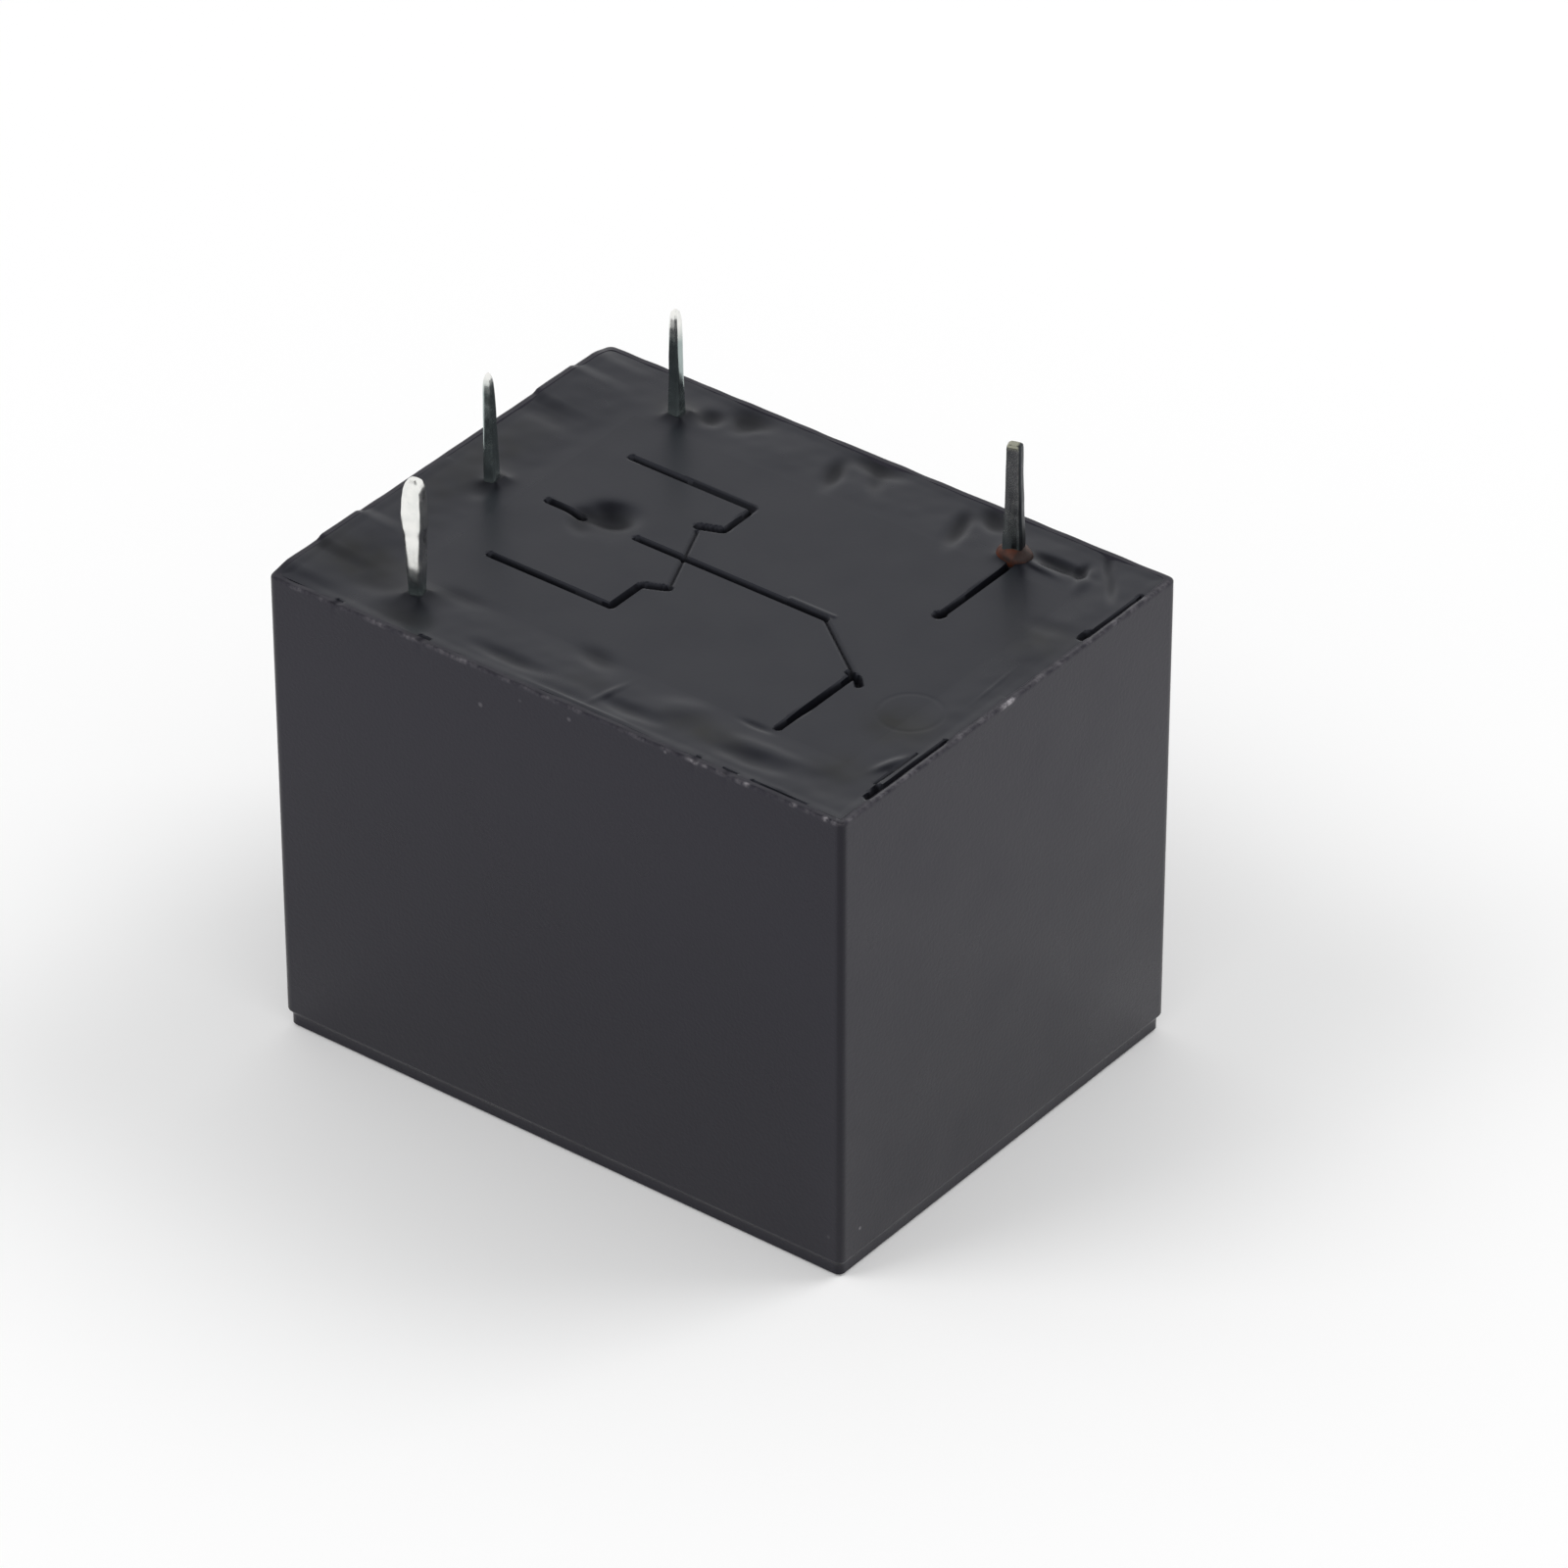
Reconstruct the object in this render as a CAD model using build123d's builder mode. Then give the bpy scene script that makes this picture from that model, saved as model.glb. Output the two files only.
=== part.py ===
from build123d import *
import math
import os

os.makedirs("parts", exist_ok=True)

# A sealed power relay for a circuit board, lying on its case's closed face with the terminals up.
# Millimetres. The origin is the centre of the resting face, +X points to the contacts and +Z out of the terminals.

# Case: five walls with a little mould draft and a low step round the closed face
case_length = 20.6
case_width = 15.65
case_height = 15.75
case_wall = 0.8
roof_thickness = 0.8
case_draft = 0.055
case_edge_radius = 0.2
cavity_radius = 0.5
step_height = 0.6
step_inset = 0.1
roof_edge = 0.08

# The case's mouth, which takes the base and is chamfered to hold resin
rim_wall = 0.6
mouth_chamfer = 0.4
mouth_radius = 0.3
standoff_height = 0.17
standoff_inset = 0.05
standoff_length = 2.0
standoff_places = (-4.7, 5.15)

# Base: a plate with a raised field for the diagram and a moat round it for the resin
base_gap = 0.08
base_thickness = 1.5
base_drop = 0.05
moat_depth = 0.3
side_moat = 1.9
coil_end_moat = 2.3
contact_end_moat = 1.1

# Places of the terminals, inwards from the case's coil end and sides. In this case they make the common grid
# of this class of relay: 12 mm across, 12.2 mm along, and the middle pin 2 mm behind the coil's.
coil_row_inset = 4.02
coil_pin_side_inset = 1.825
common_setback = 2.0
contact_row_distance = 12.2
contact_pin_side_inset = 1.825

# Terminals: a root section and a smaller tip, with the tip's height over the case's rim
pin_clearance = 0.05
pin_straight = 0.9
coil_pin_root = 0.5
coil_pin_front_tip = 0.42
coil_pin_front_edge = 0.14
coil_pin_front_rise = 3.9
coil_pin_back_tip = 0.22
coil_pin_back_edge = 0.07
coil_pin_back_rise = 3.6
coil_post_length = 1.5
common_root_width = 0.42
common_tip = 0.2
common_edge = 0.06
common_rise = 3.65
common_thickness = 0.36
common_foot_width = 6.0
common_foot_height = 2.6
common_foot_radius = 0.6
switch_root_width = 0.62
switch_tip_width = 0.46
switch_tip_radius = 0.15
switch_rise = 3.85
blade_thickness = 0.45
blade_width = 2.4
blade_bend_radius = 0.3

# Moulded diagram: coil, moving blade and two contact lines, with a vent dimple
groove_depth = 0.15
broad_groove = 0.33
fine_groove = 0.14
coil_line_offset = 0.23
coil_line_back = 3.45
coil_line_front = -3.1
coil_hook_back = ((-1.45, 1.95), (-2.2, 1.8))
coil_stroke = ((-2.05, 1.5), (-0.9, -1.0))
coil_hook_front = ((-1.6, -1.7), (-0.8, -1.35))
blade_line_y = 0.13
blade_line_parts = ((-6.55, -5.5), (-3.15, 3.7))
blade_stroke_start = (3.75, 0.0)
contact_line_offset = 0.12
contact_line_front = -1.75
contact_line_back = 2.25
contact_line_margin = 0.045
front_line_short = 0.2
stroke_gap = 0.1
contact_dot_radius = 0.25
dimple_radius = 0.75
dimple_depth = 0.2
dimple_slope_deg = 45
dimple_place = (-4.5, 0.65)

# Resin in the moat, with a small cone of it round each terminal
bond_gap = 0.01
resin_rise = 0.01
cone_radius = 0.7
cone_top_radius = 0.42
cone_height = 0.22
flux_radius = 0.55
flux_height = 0.34
rim_slot_width = 0.26
rim_slot_depth = 0.22
rim_slots = ((-4.75, 3.5), (5.05, 2.7))
blade_slot_length = 1.5
blade_slot_width = 0.36
blade_slot_gap = 0.3
blade_slot_shift = 0.35
blade_slot_depth = 0.15

# Coil: former, winding, core
coil_gap = 0.3
winding_depth = 1.89
barrel_wall = 0.55
slide_gap = 0.05
lower_flange = 1.0
upper_flange = 0.8
upper_flange_side = 0.5
upper_flange_radius = 1.0
rail_side_gap = 0.225
rail_overhang = 0.5
pole_inset = 1.2
pole_thickness = 0.6
pole_chamfer = 0.15
tenon_step = 0.5
lead_diameter = 0.16
lead_turns = 3
wrap_drop = 0.35

# Yoke and armature
yoke_thickness = 1.1
yoke_width = 8.8
yoke_reach = 3.2
yoke_bend_radius = 0.1
base_to_yoke = 0.1
horn_width = 0.9
horn_length = 0.8
horn_gap = 0.12
armature_plane_height = 3.6
armature_thickness = 1.0
armature_air = 0.04
armature_width = 8.6
armature_overlap = 0.5
armature_setback = 0.38
armature_corner = 1.2
armature_heel = 0.5
tilt_deg = 2.0

# Contact spring, rivets and contacts
spring_thickness = 0.1
spring_width = 6.4
spring_rise = 5.4
spring_bend_radius = 0.85
spring_window_width = 2.6
spring_window_height = 2.55
tongue_width = 3.2
tongue_overrun = 1.5
shoulder_length = 1.6
rivet_radius = 0.5
rivet_head_radius = 0.85
rivet_head_height = 0.3
rivet_head_slope_deg = 20
rivet_pitch = 3.6
armature_rivet_reach = 4.2
contact_radius = 1.3
contact_head = 0.6
contact_tail_radius = 0.8
contact_tail = 0.25
contact_edge = 0.2
contact_air = 0.04
contact_arm_overrun = 1.6
stop_air = 0.03
stop_thickness = 0.4

# Guards moulded on the base's inner side
post_wall = 0.22
post_side = 0.66
post_side_gap = 0.14
post_length = 5.2
barrier_thickness = 0.6
barrier_gap = 0.3
barrier_to_blade = 1.25
barrier_length = 8.6
barrier_side_gap = 0.4

# Levels, upwards from the resting face
base_top = case_height - base_drop
base_under = base_top - base_thickness
moat_floor = base_top - moat_depth
resin_top = base_top + resin_rise
yoke_outside = base_under - base_to_yoke
yoke_inside = yoke_outside - yoke_thickness
lower_flange_top = yoke_inside
lower_flange_under = lower_flange_top - lower_flange
pole_face = armature_plane_height
pole_back = pole_face + pole_thickness
upper_flange_low = pole_back + slide_gap
upper_flange_high = upper_flange_low + upper_flange

# Outlines of the case's inside, the base and the raised field
cavity_length = case_length - 2 * case_wall
cavity_width = case_width - 2 * case_wall
pocket_length = case_length - 2 * rim_wall
pocket_width = case_width - 2 * rim_wall
mouth_length = pocket_length + 2 * mouth_chamfer
mouth_width = pocket_width + 2 * mouth_chamfer
base_length = pocket_length - 2 * base_gap
base_width = pocket_width - 2 * base_gap
field_low_x = -base_length / 2 + coil_end_moat
field_high_x = base_length / 2 - contact_end_moat
field_length = field_high_x - field_low_x
field_x = (field_low_x + field_high_x) / 2
field_width = base_width - 2 * side_moat

# Terminal places
coil_row_x = -case_length / 2 + coil_row_inset
coil_pin_y = case_width / 2 - coil_pin_side_inset
common_x = coil_row_x - common_setback
contact_x = coil_row_x + contact_row_distance
contact_pin_y = case_width / 2 - contact_pin_side_inset

# Layers behind the yoke, and the coil, which fills the room from the yoke to the barrier before the contacts
spring_back_x = common_x + common_thickness / 2 + bond_gap
yoke_back_x = spring_back_x + spring_thickness + bond_gap
yoke_front_x = yoke_back_x + yoke_thickness
barrier_x = contact_x - blade_width / 2 - barrier_to_blade - barrier_thickness / 2
flange_high_x = barrier_x - barrier_thickness / 2 - barrier_gap
flange_margin = coil_gap - yoke_bend_radius - slide_gap
winding_radius = (flange_high_x - flange_margin - yoke_front_x - coil_gap) / 2
coil_x = yoke_front_x + coil_gap + winding_radius
flange_length = 2 * (winding_radius + flange_margin)
pole_radius = winding_radius - pole_inset
barrel_radius = winding_radius - winding_depth - bond_gap
core_radius = barrel_radius - barrel_wall - slide_gap
tenon_radius = core_radius - tenon_step
rail_reach = cavity_width / 2 - rail_side_gap
rivet_z = yoke_outside - spring_rise - common_foot_height / 2
foot_high_z = rivet_z + common_foot_height / 2

# The armature turns on the edge where it meets the yoke's end, and lies tilted away from the pole at rest
pivot_x = yoke_back_x + armature_setback
tilt = math.radians(tilt_deg)
along = (math.cos(tilt), 0, -math.sin(tilt))
outward = (math.sin(tilt), 0, math.cos(tilt))
tilted = Plane(origin=(pivot_x, 0, armature_plane_height), x_dir=along, z_dir=outward)
armature_back = tilted.offset(-armature_air - armature_thickness)
spring_face = tilted.offset(-armature_air - armature_thickness - bond_gap)
armature_length = coil_x + pole_radius + armature_overlap - pivot_x
contact_reach = contact_x - pivot_x
spring_end = contact_reach + tongue_overrun

# Contact stack, seen with the armature drawn in, when it lies level
spring_level = armature_plane_height - armature_air - armature_thickness - bond_gap - spring_thickness
fixed_face = spring_level + spring_thickness + contact_head + contact_air
arm_low = fixed_face + contact_head
contact_drop = contact_reach * math.sin(tilt) + (1 - math.cos(tilt)) * armature_thickness
stop_high = spring_level - contact_drop - contact_tail - contact_tail_radius * math.sin(tilt) - stop_air
stop_low = stop_high - stop_thickness


with BuildPart() as cover:
    with BuildSketch(Plane.XY.offset(step_height)):
        RectangleRounded(case_length - 2 * case_draft, case_width - 2 * case_draft, case_edge_radius)
    with BuildSketch(Plane.XY.offset(case_height)):
        RectangleRounded(case_length, case_width, case_edge_radius)
    loft()
    with BuildSketch():
        step_total = 2 * (case_draft + step_inset)
        RectangleRounded(case_length - step_total, case_width - step_total, case_edge_radius)
    extrude(amount=step_height)
    chamfer(cover.faces().sort_by(Axis.Z)[0].edges(), length=roof_edge)
    # Cavity, then the wider pocket whose ledge carries the base, then the chamfered mouth
    with BuildSketch(Plane.XY.offset(roof_thickness)):
        RectangleRounded(cavity_length, cavity_width, cavity_radius)
    extrude(amount=case_height - roof_thickness, mode=Mode.SUBTRACT)
    with BuildSketch(Plane.XY.offset(base_under)):
        RectangleRounded(pocket_length, pocket_width, mouth_radius)
    extrude(amount=case_height - base_under, mode=Mode.SUBTRACT)
    with BuildSketch(Plane.XY.offset(case_height - mouth_chamfer)):
        RectangleRounded(pocket_length, pocket_width, mouth_radius)
    with BuildSketch(Plane.XY.offset(case_height)):
        RectangleRounded(mouth_length, mouth_width, mouth_radius)
    loft(mode=Mode.SUBTRACT)
    # Standoffs on the rim at the coil end
    with BuildSketch(Plane.XY.offset(case_height - mouth_chamfer)):
        standoff_thickness = rim_wall - standoff_inset
        standoff_x = -case_length / 2 + standoff_inset + standoff_thickness / 2
        with Locations(*[(standoff_x, y) for y in standoff_places]):
            Rectangle(standoff_thickness, standoff_length)
    extrude(amount=mouth_chamfer + standoff_height)
cover.part.label = "cover"
export_step(cover.part, "parts/cover.step")


# The diagram's grooves, each a line width and its points
coil_line_x = coil_row_x + coil_line_offset
contact_line_x = contact_x + contact_line_offset
contact_line_high_y = field_width / 2 - contact_line_margin
contact_line_low_y = front_line_short - contact_line_high_y
blade_stroke_end = (contact_line_x - stroke_gap, contact_line_front + stroke_gap)
back_corner = (coil_hook_back[0][0], coil_line_back)
front_corner = (coil_hook_front[0][0], coil_line_front)
grooves = [
    (broad_groove, ((coil_line_x, coil_line_back), back_corner, *coil_hook_back)),
    (fine_groove, coil_stroke),
    (broad_groove, ((coil_line_x, coil_line_front), front_corner, *coil_hook_front)),
    (fine_groove, (blade_stroke_start, blade_stroke_end)),
    (broad_groove, ((contact_line_x, contact_line_low_y), (contact_line_x, contact_line_front))),
    (broad_groove, ((contact_line_x, contact_line_high_y), (contact_line_x, contact_line_back))),
]
for line_start, line_end in blade_line_parts:
    grooves.append((broad_groove, ((line_start, blade_line_y), (line_end, blade_line_y))))

with BuildPart() as base:
    with BuildSketch(Plane.XY.offset(base_under)):
        RectangleRounded(base_length, base_width, mouth_radius)
    extrude(amount=base_thickness - moat_depth)
    with BuildSketch(Plane.XY.offset(moat_floor)):
        with Locations((field_x, 0)):
            RectangleRounded(field_length, field_width, mouth_radius)
    extrude(amount=moat_depth)
    # Barrier between coil and contacts, and a post with a slot for each contact blade
    with BuildSketch(Plane.XY.offset(base_under)):
        with Locations((barrier_x, 0)):
            Rectangle(barrier_thickness, cavity_width - 2 * barrier_side_gap)
    extrude(amount=-barrier_length)
    post_inner_y = contact_pin_y - blade_thickness / 2 - post_side
    post_outer_y = cavity_width / 2 - post_side_gap
    with BuildSketch(Plane.XY.offset(base_under)):
        with Locations(*[(contact_x, side * (post_inner_y + post_outer_y) / 2) for side in (-1, 1)]):
            Rectangle(blade_width + 2 * post_wall + 2 * pin_clearance, post_outer_y - post_inner_y)
        with Locations((contact_x, contact_pin_y), (contact_x, -contact_pin_y)):
            Rectangle(blade_width + 2 * pin_clearance, blade_thickness + 2 * pin_clearance, mode=Mode.SUBTRACT)
    extrude(amount=-post_length)
    # Diagram
    for groove_width, points in grooves:
        with BuildSketch(Plane.XY.offset(base_top)):
            with BuildLine():
                Polyline(*points)
            trace(line_width=groove_width)
            with Locations(points[0], points[-1]):
                Circle(groove_width / 2)
        extrude(amount=-groove_depth, mode=Mode.SUBTRACT)
    with BuildSketch(Plane.XY.offset(base_top)):
        with Locations((contact_line_x, contact_line_back)):
            Circle(contact_dot_radius)
    extrude(amount=-groove_depth, mode=Mode.SUBTRACT)
    with BuildSketch(Plane.XY.offset(base_top)):
        with Locations(dimple_place):
            Circle(dimple_radius)
    extrude(amount=-dimple_depth, taper=dimple_slope_deg, mode=Mode.SUBTRACT)
    # Holes for the terminals
    with BuildSketch(Plane.XY.offset(base_under)):
        with Locations((coil_row_x, coil_pin_y), (coil_row_x, -coil_pin_y)):
            Rectangle(coil_pin_root + 2 * pin_clearance, coil_pin_root + 2 * pin_clearance)
        with Locations((common_x, 0)):
            Rectangle(common_thickness + 2 * pin_clearance, common_root_width + 2 * pin_clearance)
        with Locations((contact_x, contact_pin_y)):
            Rectangle(switch_root_width + 2 * pin_clearance, blade_thickness + 2 * pin_clearance)
    extrude(amount=base_thickness, mode=Mode.SUBTRACT)
base.part.label = "base"
export_step(base.part, "parts/base.step")


with BuildPart() as sealing_resin:
    for level in (moat_floor, resin_top):
        with BuildSketch(Plane.XY.offset(level)):
            mouth_inset = 2 * (case_height - level + bond_gap)
            RectangleRounded(mouth_length - mouth_inset, mouth_width - mouth_inset, mouth_radius)
    loft()
    with BuildSketch(Plane.XY.offset(moat_floor)):
        with Locations((field_x, 0)):
            RectangleRounded(field_length + 2 * bond_gap, field_width + 2 * bond_gap, mouth_radius)
    extrude(amount=moat_depth + resin_rise, mode=Mode.SUBTRACT)
    # Clear of the standoffs, open in the two rim slots and at the end of the switch terminal's slot
    with BuildSketch(Plane.XY.offset(moat_floor)):
        with Locations(*[(-pocket_length / 2, y) for y in standoff_places]):
            Rectangle(2 * (mouth_chamfer + bond_gap), standoff_length + 2 * bond_gap)
    extrude(amount=moat_depth + resin_rise, mode=Mode.SUBTRACT)
    for slot_y, slot_length in rim_slots:
        with BuildSketch(Plane.XY.offset(resin_top)):
            with Locations((mouth_length / 2 - rim_slot_width / 2, slot_y)):
                Rectangle(rim_slot_width, slot_length)
        extrude(amount=-rim_slot_depth, mode=Mode.SUBTRACT)
    with BuildSketch(Plane.XY.offset(resin_top)):
        blade_slot_x = contact_x + switch_root_width / 2 + blade_slot_gap + blade_slot_length / 2
        with Locations((blade_slot_x, contact_pin_y + blade_slot_shift)):
            SlotOverall(blade_slot_length, blade_slot_width)
    extrude(amount=-blade_slot_depth, mode=Mode.SUBTRACT)
    # Cones that the resin forms round the terminals, and the holes that the terminals fill
    with Locations(
        (coil_row_x, coil_pin_y, resin_top),
        (coil_row_x, -coil_pin_y, resin_top),
        (common_x, 0, resin_top),
    ):
        Cone(cone_radius, cone_top_radius, cone_height, align=(Align.CENTER, Align.CENTER, Align.MIN))
    with BuildSketch(Plane.XY.offset(moat_floor)):
        with Locations((coil_row_x, coil_pin_y), (coil_row_x, -coil_pin_y)):
            Rectangle(coil_pin_root + 2 * bond_gap, coil_pin_root + 2 * bond_gap)
        with Locations((common_x, 0)):
            Rectangle(common_thickness + 2 * bond_gap, common_root_width + 2 * bond_gap)
        with Locations((contact_x, contact_pin_y)):
            Rectangle(switch_root_width + 2 * bond_gap, blade_thickness + 2 * bond_gap)
    extrude(amount=moat_depth + resin_rise + cone_height, mode=Mode.SUBTRACT)
sealing_resin.part.label = "sealing_resin"
export_step(sealing_resin.part, "parts/sealing_resin.step")


with BuildPart() as flux_residue:
    with Locations((contact_x, contact_pin_y, resin_top + bond_gap)):
        Cone(flux_radius, cone_top_radius, flux_height, align=(Align.CENTER, Align.CENTER, Align.MIN))
    with BuildSketch(Plane.XY.offset(resin_top)):
        with Locations((contact_x, contact_pin_y)):
            Rectangle(switch_root_width + 2 * bond_gap, blade_thickness + 2 * bond_gap)
    extrude(amount=2 * flux_height, mode=Mode.SUBTRACT)
flux_residue.part.label = "flux_residue"
export_step(flux_residue.part, "parts/flux_residue.step")


coil_pins = (
    ("coil_terminal_front", -1, coil_pin_front_tip, coil_pin_front_edge, coil_pin_front_rise),
    ("coil_terminal_back", 1, coil_pin_back_tip, coil_pin_back_edge, coil_pin_back_rise),
)
post_end = lower_flange_under - coil_post_length
taper_start = case_height + pin_straight
for name, side, tip, tip_edge, rise in coil_pins:
    with BuildPart() as coil_terminal:
        with BuildSketch(Plane.XY.offset(post_end)):
            with Locations((coil_row_x, side * coil_pin_y)):
                Rectangle(coil_pin_root, coil_pin_root)
        extrude(amount=taper_start - post_end)
        with BuildSketch(Plane.XY.offset(taper_start)):
            with Locations((coil_row_x, side * coil_pin_y)):
                Rectangle(coil_pin_root, coil_pin_root)
        with BuildSketch(Plane.XY.offset(case_height + rise)):
            with Locations((coil_row_x, side * coil_pin_y)):
                Rectangle(tip, tip)
        loft()
        chamfer(coil_terminal.faces().sort_by(Axis.Z)[-1].edges(), length=tip_edge)
    coil_terminal.part.label = name
    export_step(coil_terminal.part, f"parts/{name}.step")


with BuildPart() as common_terminal:
    with BuildSketch(Plane.XY.offset(foot_high_z)):
        with Locations((common_x, 0)):
            Rectangle(common_thickness, common_root_width)
    extrude(amount=taper_start - foot_high_z)
    with BuildSketch(Plane.XY.offset(taper_start)):
        with Locations((common_x, 0)):
            Rectangle(common_thickness, common_root_width)
    with BuildSketch(Plane.XY.offset(case_height + common_rise)):
        with Locations((common_x, 0)):
            Rectangle(common_tip, common_tip)
    loft()
    chamfer(common_terminal.faces().sort_by(Axis.Z)[-1].edges(), length=common_edge)
    # Foot, staked with the spring on the yoke's back
    with BuildSketch(Plane.YZ.offset(common_x)):
        with Locations((0, rivet_z)):
            RectangleRounded(common_foot_width, common_foot_height, common_foot_radius)
        with Locations((-rivet_pitch / 2, rivet_z), (rivet_pitch / 2, rivet_z)):
            Circle(rivet_radius + bond_gap, mode=Mode.SUBTRACT)
    extrude(amount=common_thickness / 2, both=True)
common_terminal.part.label = "common_terminal"
export_step(common_terminal.part, "parts/common_terminal.step")


with BuildPart() as switch_terminal:
    # Blade beside its pin, bent to the arm that carries the fixed contact
    with BuildSketch(Plane.YZ.offset(contact_x)):
        with BuildLine():
            FilletPolyline(
                (contact_pin_y, base_under),
                (contact_pin_y, arm_low + blade_thickness / 2),
                (-contact_arm_overrun, arm_low + blade_thickness / 2),
                radius=blade_bend_radius + blade_thickness / 2,
            )
        trace(line_width=blade_thickness)
    extrude(amount=blade_width / 2, both=True)
    with BuildSketch(Plane.XY.offset(base_under)):
        with Locations((contact_x, contact_pin_y)):
            Rectangle(switch_root_width, blade_thickness)
    extrude(amount=taper_start - base_under)
    with BuildSketch(Plane.XY.offset(taper_start)):
        with Locations((contact_x, contact_pin_y)):
            Rectangle(switch_root_width, blade_thickness)
    with BuildSketch(Plane.XY.offset(case_height + switch_rise)):
        with Locations((contact_x, contact_pin_y)):
            Rectangle(switch_tip_width, blade_thickness)
    loft()
    fillet(switch_terminal.faces().sort_by(Axis.Z)[-1].edges().filter_by(Axis.Y), radius=switch_tip_radius)
    with BuildSketch(Plane.XY.offset(arm_low)):
        with Locations((contact_x, 0)):
            Circle(contact_tail_radius + bond_gap)
    extrude(amount=blade_thickness, mode=Mode.SUBTRACT)
switch_terminal.part.label = "switch_terminal"
export_step(switch_terminal.part, "parts/switch_terminal.step")


with BuildPart() as back_stop:
    with BuildSketch(Plane.YZ.offset(contact_x)):
        with BuildLine():
            FilletPolyline(
                (-contact_pin_y, base_under - bond_gap),
                (-contact_pin_y, stop_low + stop_thickness / 2),
                (contact_arm_overrun, stop_low + stop_thickness / 2),
                radius=blade_bend_radius + stop_thickness / 2,
            )
        trace(line_width=stop_thickness)
    extrude(amount=blade_width / 2, both=True)
back_stop.part.label = "back_stop"
export_step(back_stop.part, "parts/back_stop.step")


with BuildPart() as fixed_contact:
    with BuildSketch(Plane.XY.offset(fixed_face)):
        with Locations((contact_x, 0)):
            Circle(contact_radius)
    extrude(amount=contact_head - bond_gap)
    chamfer(fixed_contact.edges().sort_by(Axis.Z)[0], length=contact_edge)
    with BuildSketch(Plane.XY.offset(fixed_face + contact_head - bond_gap)):
        with Locations((contact_x, 0)):
            Circle(contact_tail_radius)
    extrude(amount=blade_thickness + bond_gap)
fixed_contact.part.label = "fixed_contact"
export_step(fixed_contact.part, "parts/fixed_contact.step")


with BuildPart() as bobbin:
    # Barrel between two flanges
    with BuildSketch(Plane.XY.offset(upper_flange_low)):
        with Locations((coil_x, 0)):
            Circle(barrel_radius)
    extrude(amount=lower_flange_top - upper_flange_low)
    with BuildSketch(Plane.XY.offset(upper_flange_low)):
        with Locations((coil_x, 0)):
            RectangleRounded(flange_length, flange_length + 2 * upper_flange_side, upper_flange_radius)
    extrude(amount=upper_flange)
    with BuildSketch(Plane.XY.offset(lower_flange_under)):
        with Locations((coil_x, 0)):
            Rectangle(flange_length, 2 * rail_reach)
    extrude(amount=lower_flange)
    # Rails beside the yoke, which hold the coil terminals and reach the base
    rail_low_x = coil_row_x - coil_pin_root / 2 - rail_overhang
    rail_x = (rail_low_x + coil_x + flange_length / 2) / 2
    rail_width = rail_reach - yoke_width / 2 - base_to_yoke
    rail_y = rail_reach - rail_width / 2
    with BuildSketch(Plane.XY.offset(lower_flange_under)):
        with Locations((rail_x, -rail_y), (rail_x, rail_y)):
            Rectangle(2 * (rail_x - rail_low_x), rail_width)
    extrude(amount=base_under - lower_flange_under)
    with BuildSketch(Plane.XY.offset(lower_flange_under)):
        with Locations((coil_row_x, coil_pin_y), (coil_row_x, -coil_pin_y)):
            Rectangle(coil_pin_root + 2 * bond_gap, coil_pin_root + 2 * bond_gap)
    extrude(amount=base_under - lower_flange_under, mode=Mode.SUBTRACT)
    with BuildSketch(Plane.XY.offset(upper_flange_low)):
        with Locations((coil_x, 0)):
            Circle(core_radius + slide_gap)
    extrude(amount=lower_flange_top - upper_flange_low, mode=Mode.SUBTRACT)
bobbin.part.label = "bobbin"
export_step(bobbin.part, "parts/bobbin.step")


with BuildPart() as coil_winding:
    with BuildSketch(Plane.XY.offset(upper_flange_high + bond_gap)):
        with Locations((coil_x, 0)):
            Circle(winding_radius)
            Circle(barrel_radius + bond_gap, mode=Mode.SUBTRACT)
    extrude(amount=lower_flange_under - upper_flange_high - 2 * bond_gap)
coil_winding.part.label = "coil_winding"
export_step(coil_winding.part, "parts/coil_winding.step")


# Each lead is wound round its terminal's post and runs from there to the winding, on a tangent of both
wrap_inner = coil_pin_root / math.sqrt(2) + bond_gap
wrap_radius = wrap_inner + lead_diameter / 2 + bond_gap
wrap_top = lower_flange_under - wrap_drop
lead_z = wrap_top - lead_diameter / 2
lead_touch_radius = winding_radius + lead_diameter / 2 + bond_gap
for name, side in (("coil_lead_front", -1), ("coil_lead_back", 1)):
    post = Vector(coil_row_x, side * coil_pin_y)
    to_coil = Vector(coil_x, 0) - post
    heading = math.atan2(to_coil.Y, to_coil.X)
    swing = side * math.asin((lead_touch_radius - wrap_radius) / to_coil.length)
    direction = Vector(math.cos(heading + swing), math.sin(heading + swing))
    aside = Vector(-direction.Y, direction.X) * side
    run_start = post + aside * wrap_radius
    run_length = math.sqrt(to_coil.length**2 - (lead_touch_radius - wrap_radius) ** 2)
    with BuildPart() as coil_lead:
        with BuildSketch(Plane.XZ.offset(-side * coil_pin_y)):
            with BuildLine():
                # A tooth for each turn of wire, from the sleeve's inner face and back to it
                inner_x = coil_row_x + wrap_inner
                teeth = [(inner_x, wrap_top)]
                for half_turn in range(2 * lead_turns + 1):
                    tooth_x = inner_x + lead_diameter * (1 + half_turn % 2) / 2
                    teeth.append((tooth_x, wrap_top - half_turn * lead_diameter / 2))
                teeth.append((inner_x, wrap_top - lead_turns * lead_diameter))
                Polyline(*teeth, close=True)
            make_face()
        revolve(axis=Axis((coil_row_x, side * coil_pin_y, 0), (0, 0, 1)))
        run_plane = Plane(origin=(run_start.X, run_start.Y, lead_z), z_dir=(direction.X, direction.Y, 0))
        with BuildSketch(run_plane):
            Circle(lead_diameter / 2)
        extrude(amount=run_length)
    coil_lead.part.label = name
    export_step(coil_lead.part, f"parts/{name}.step")


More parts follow.
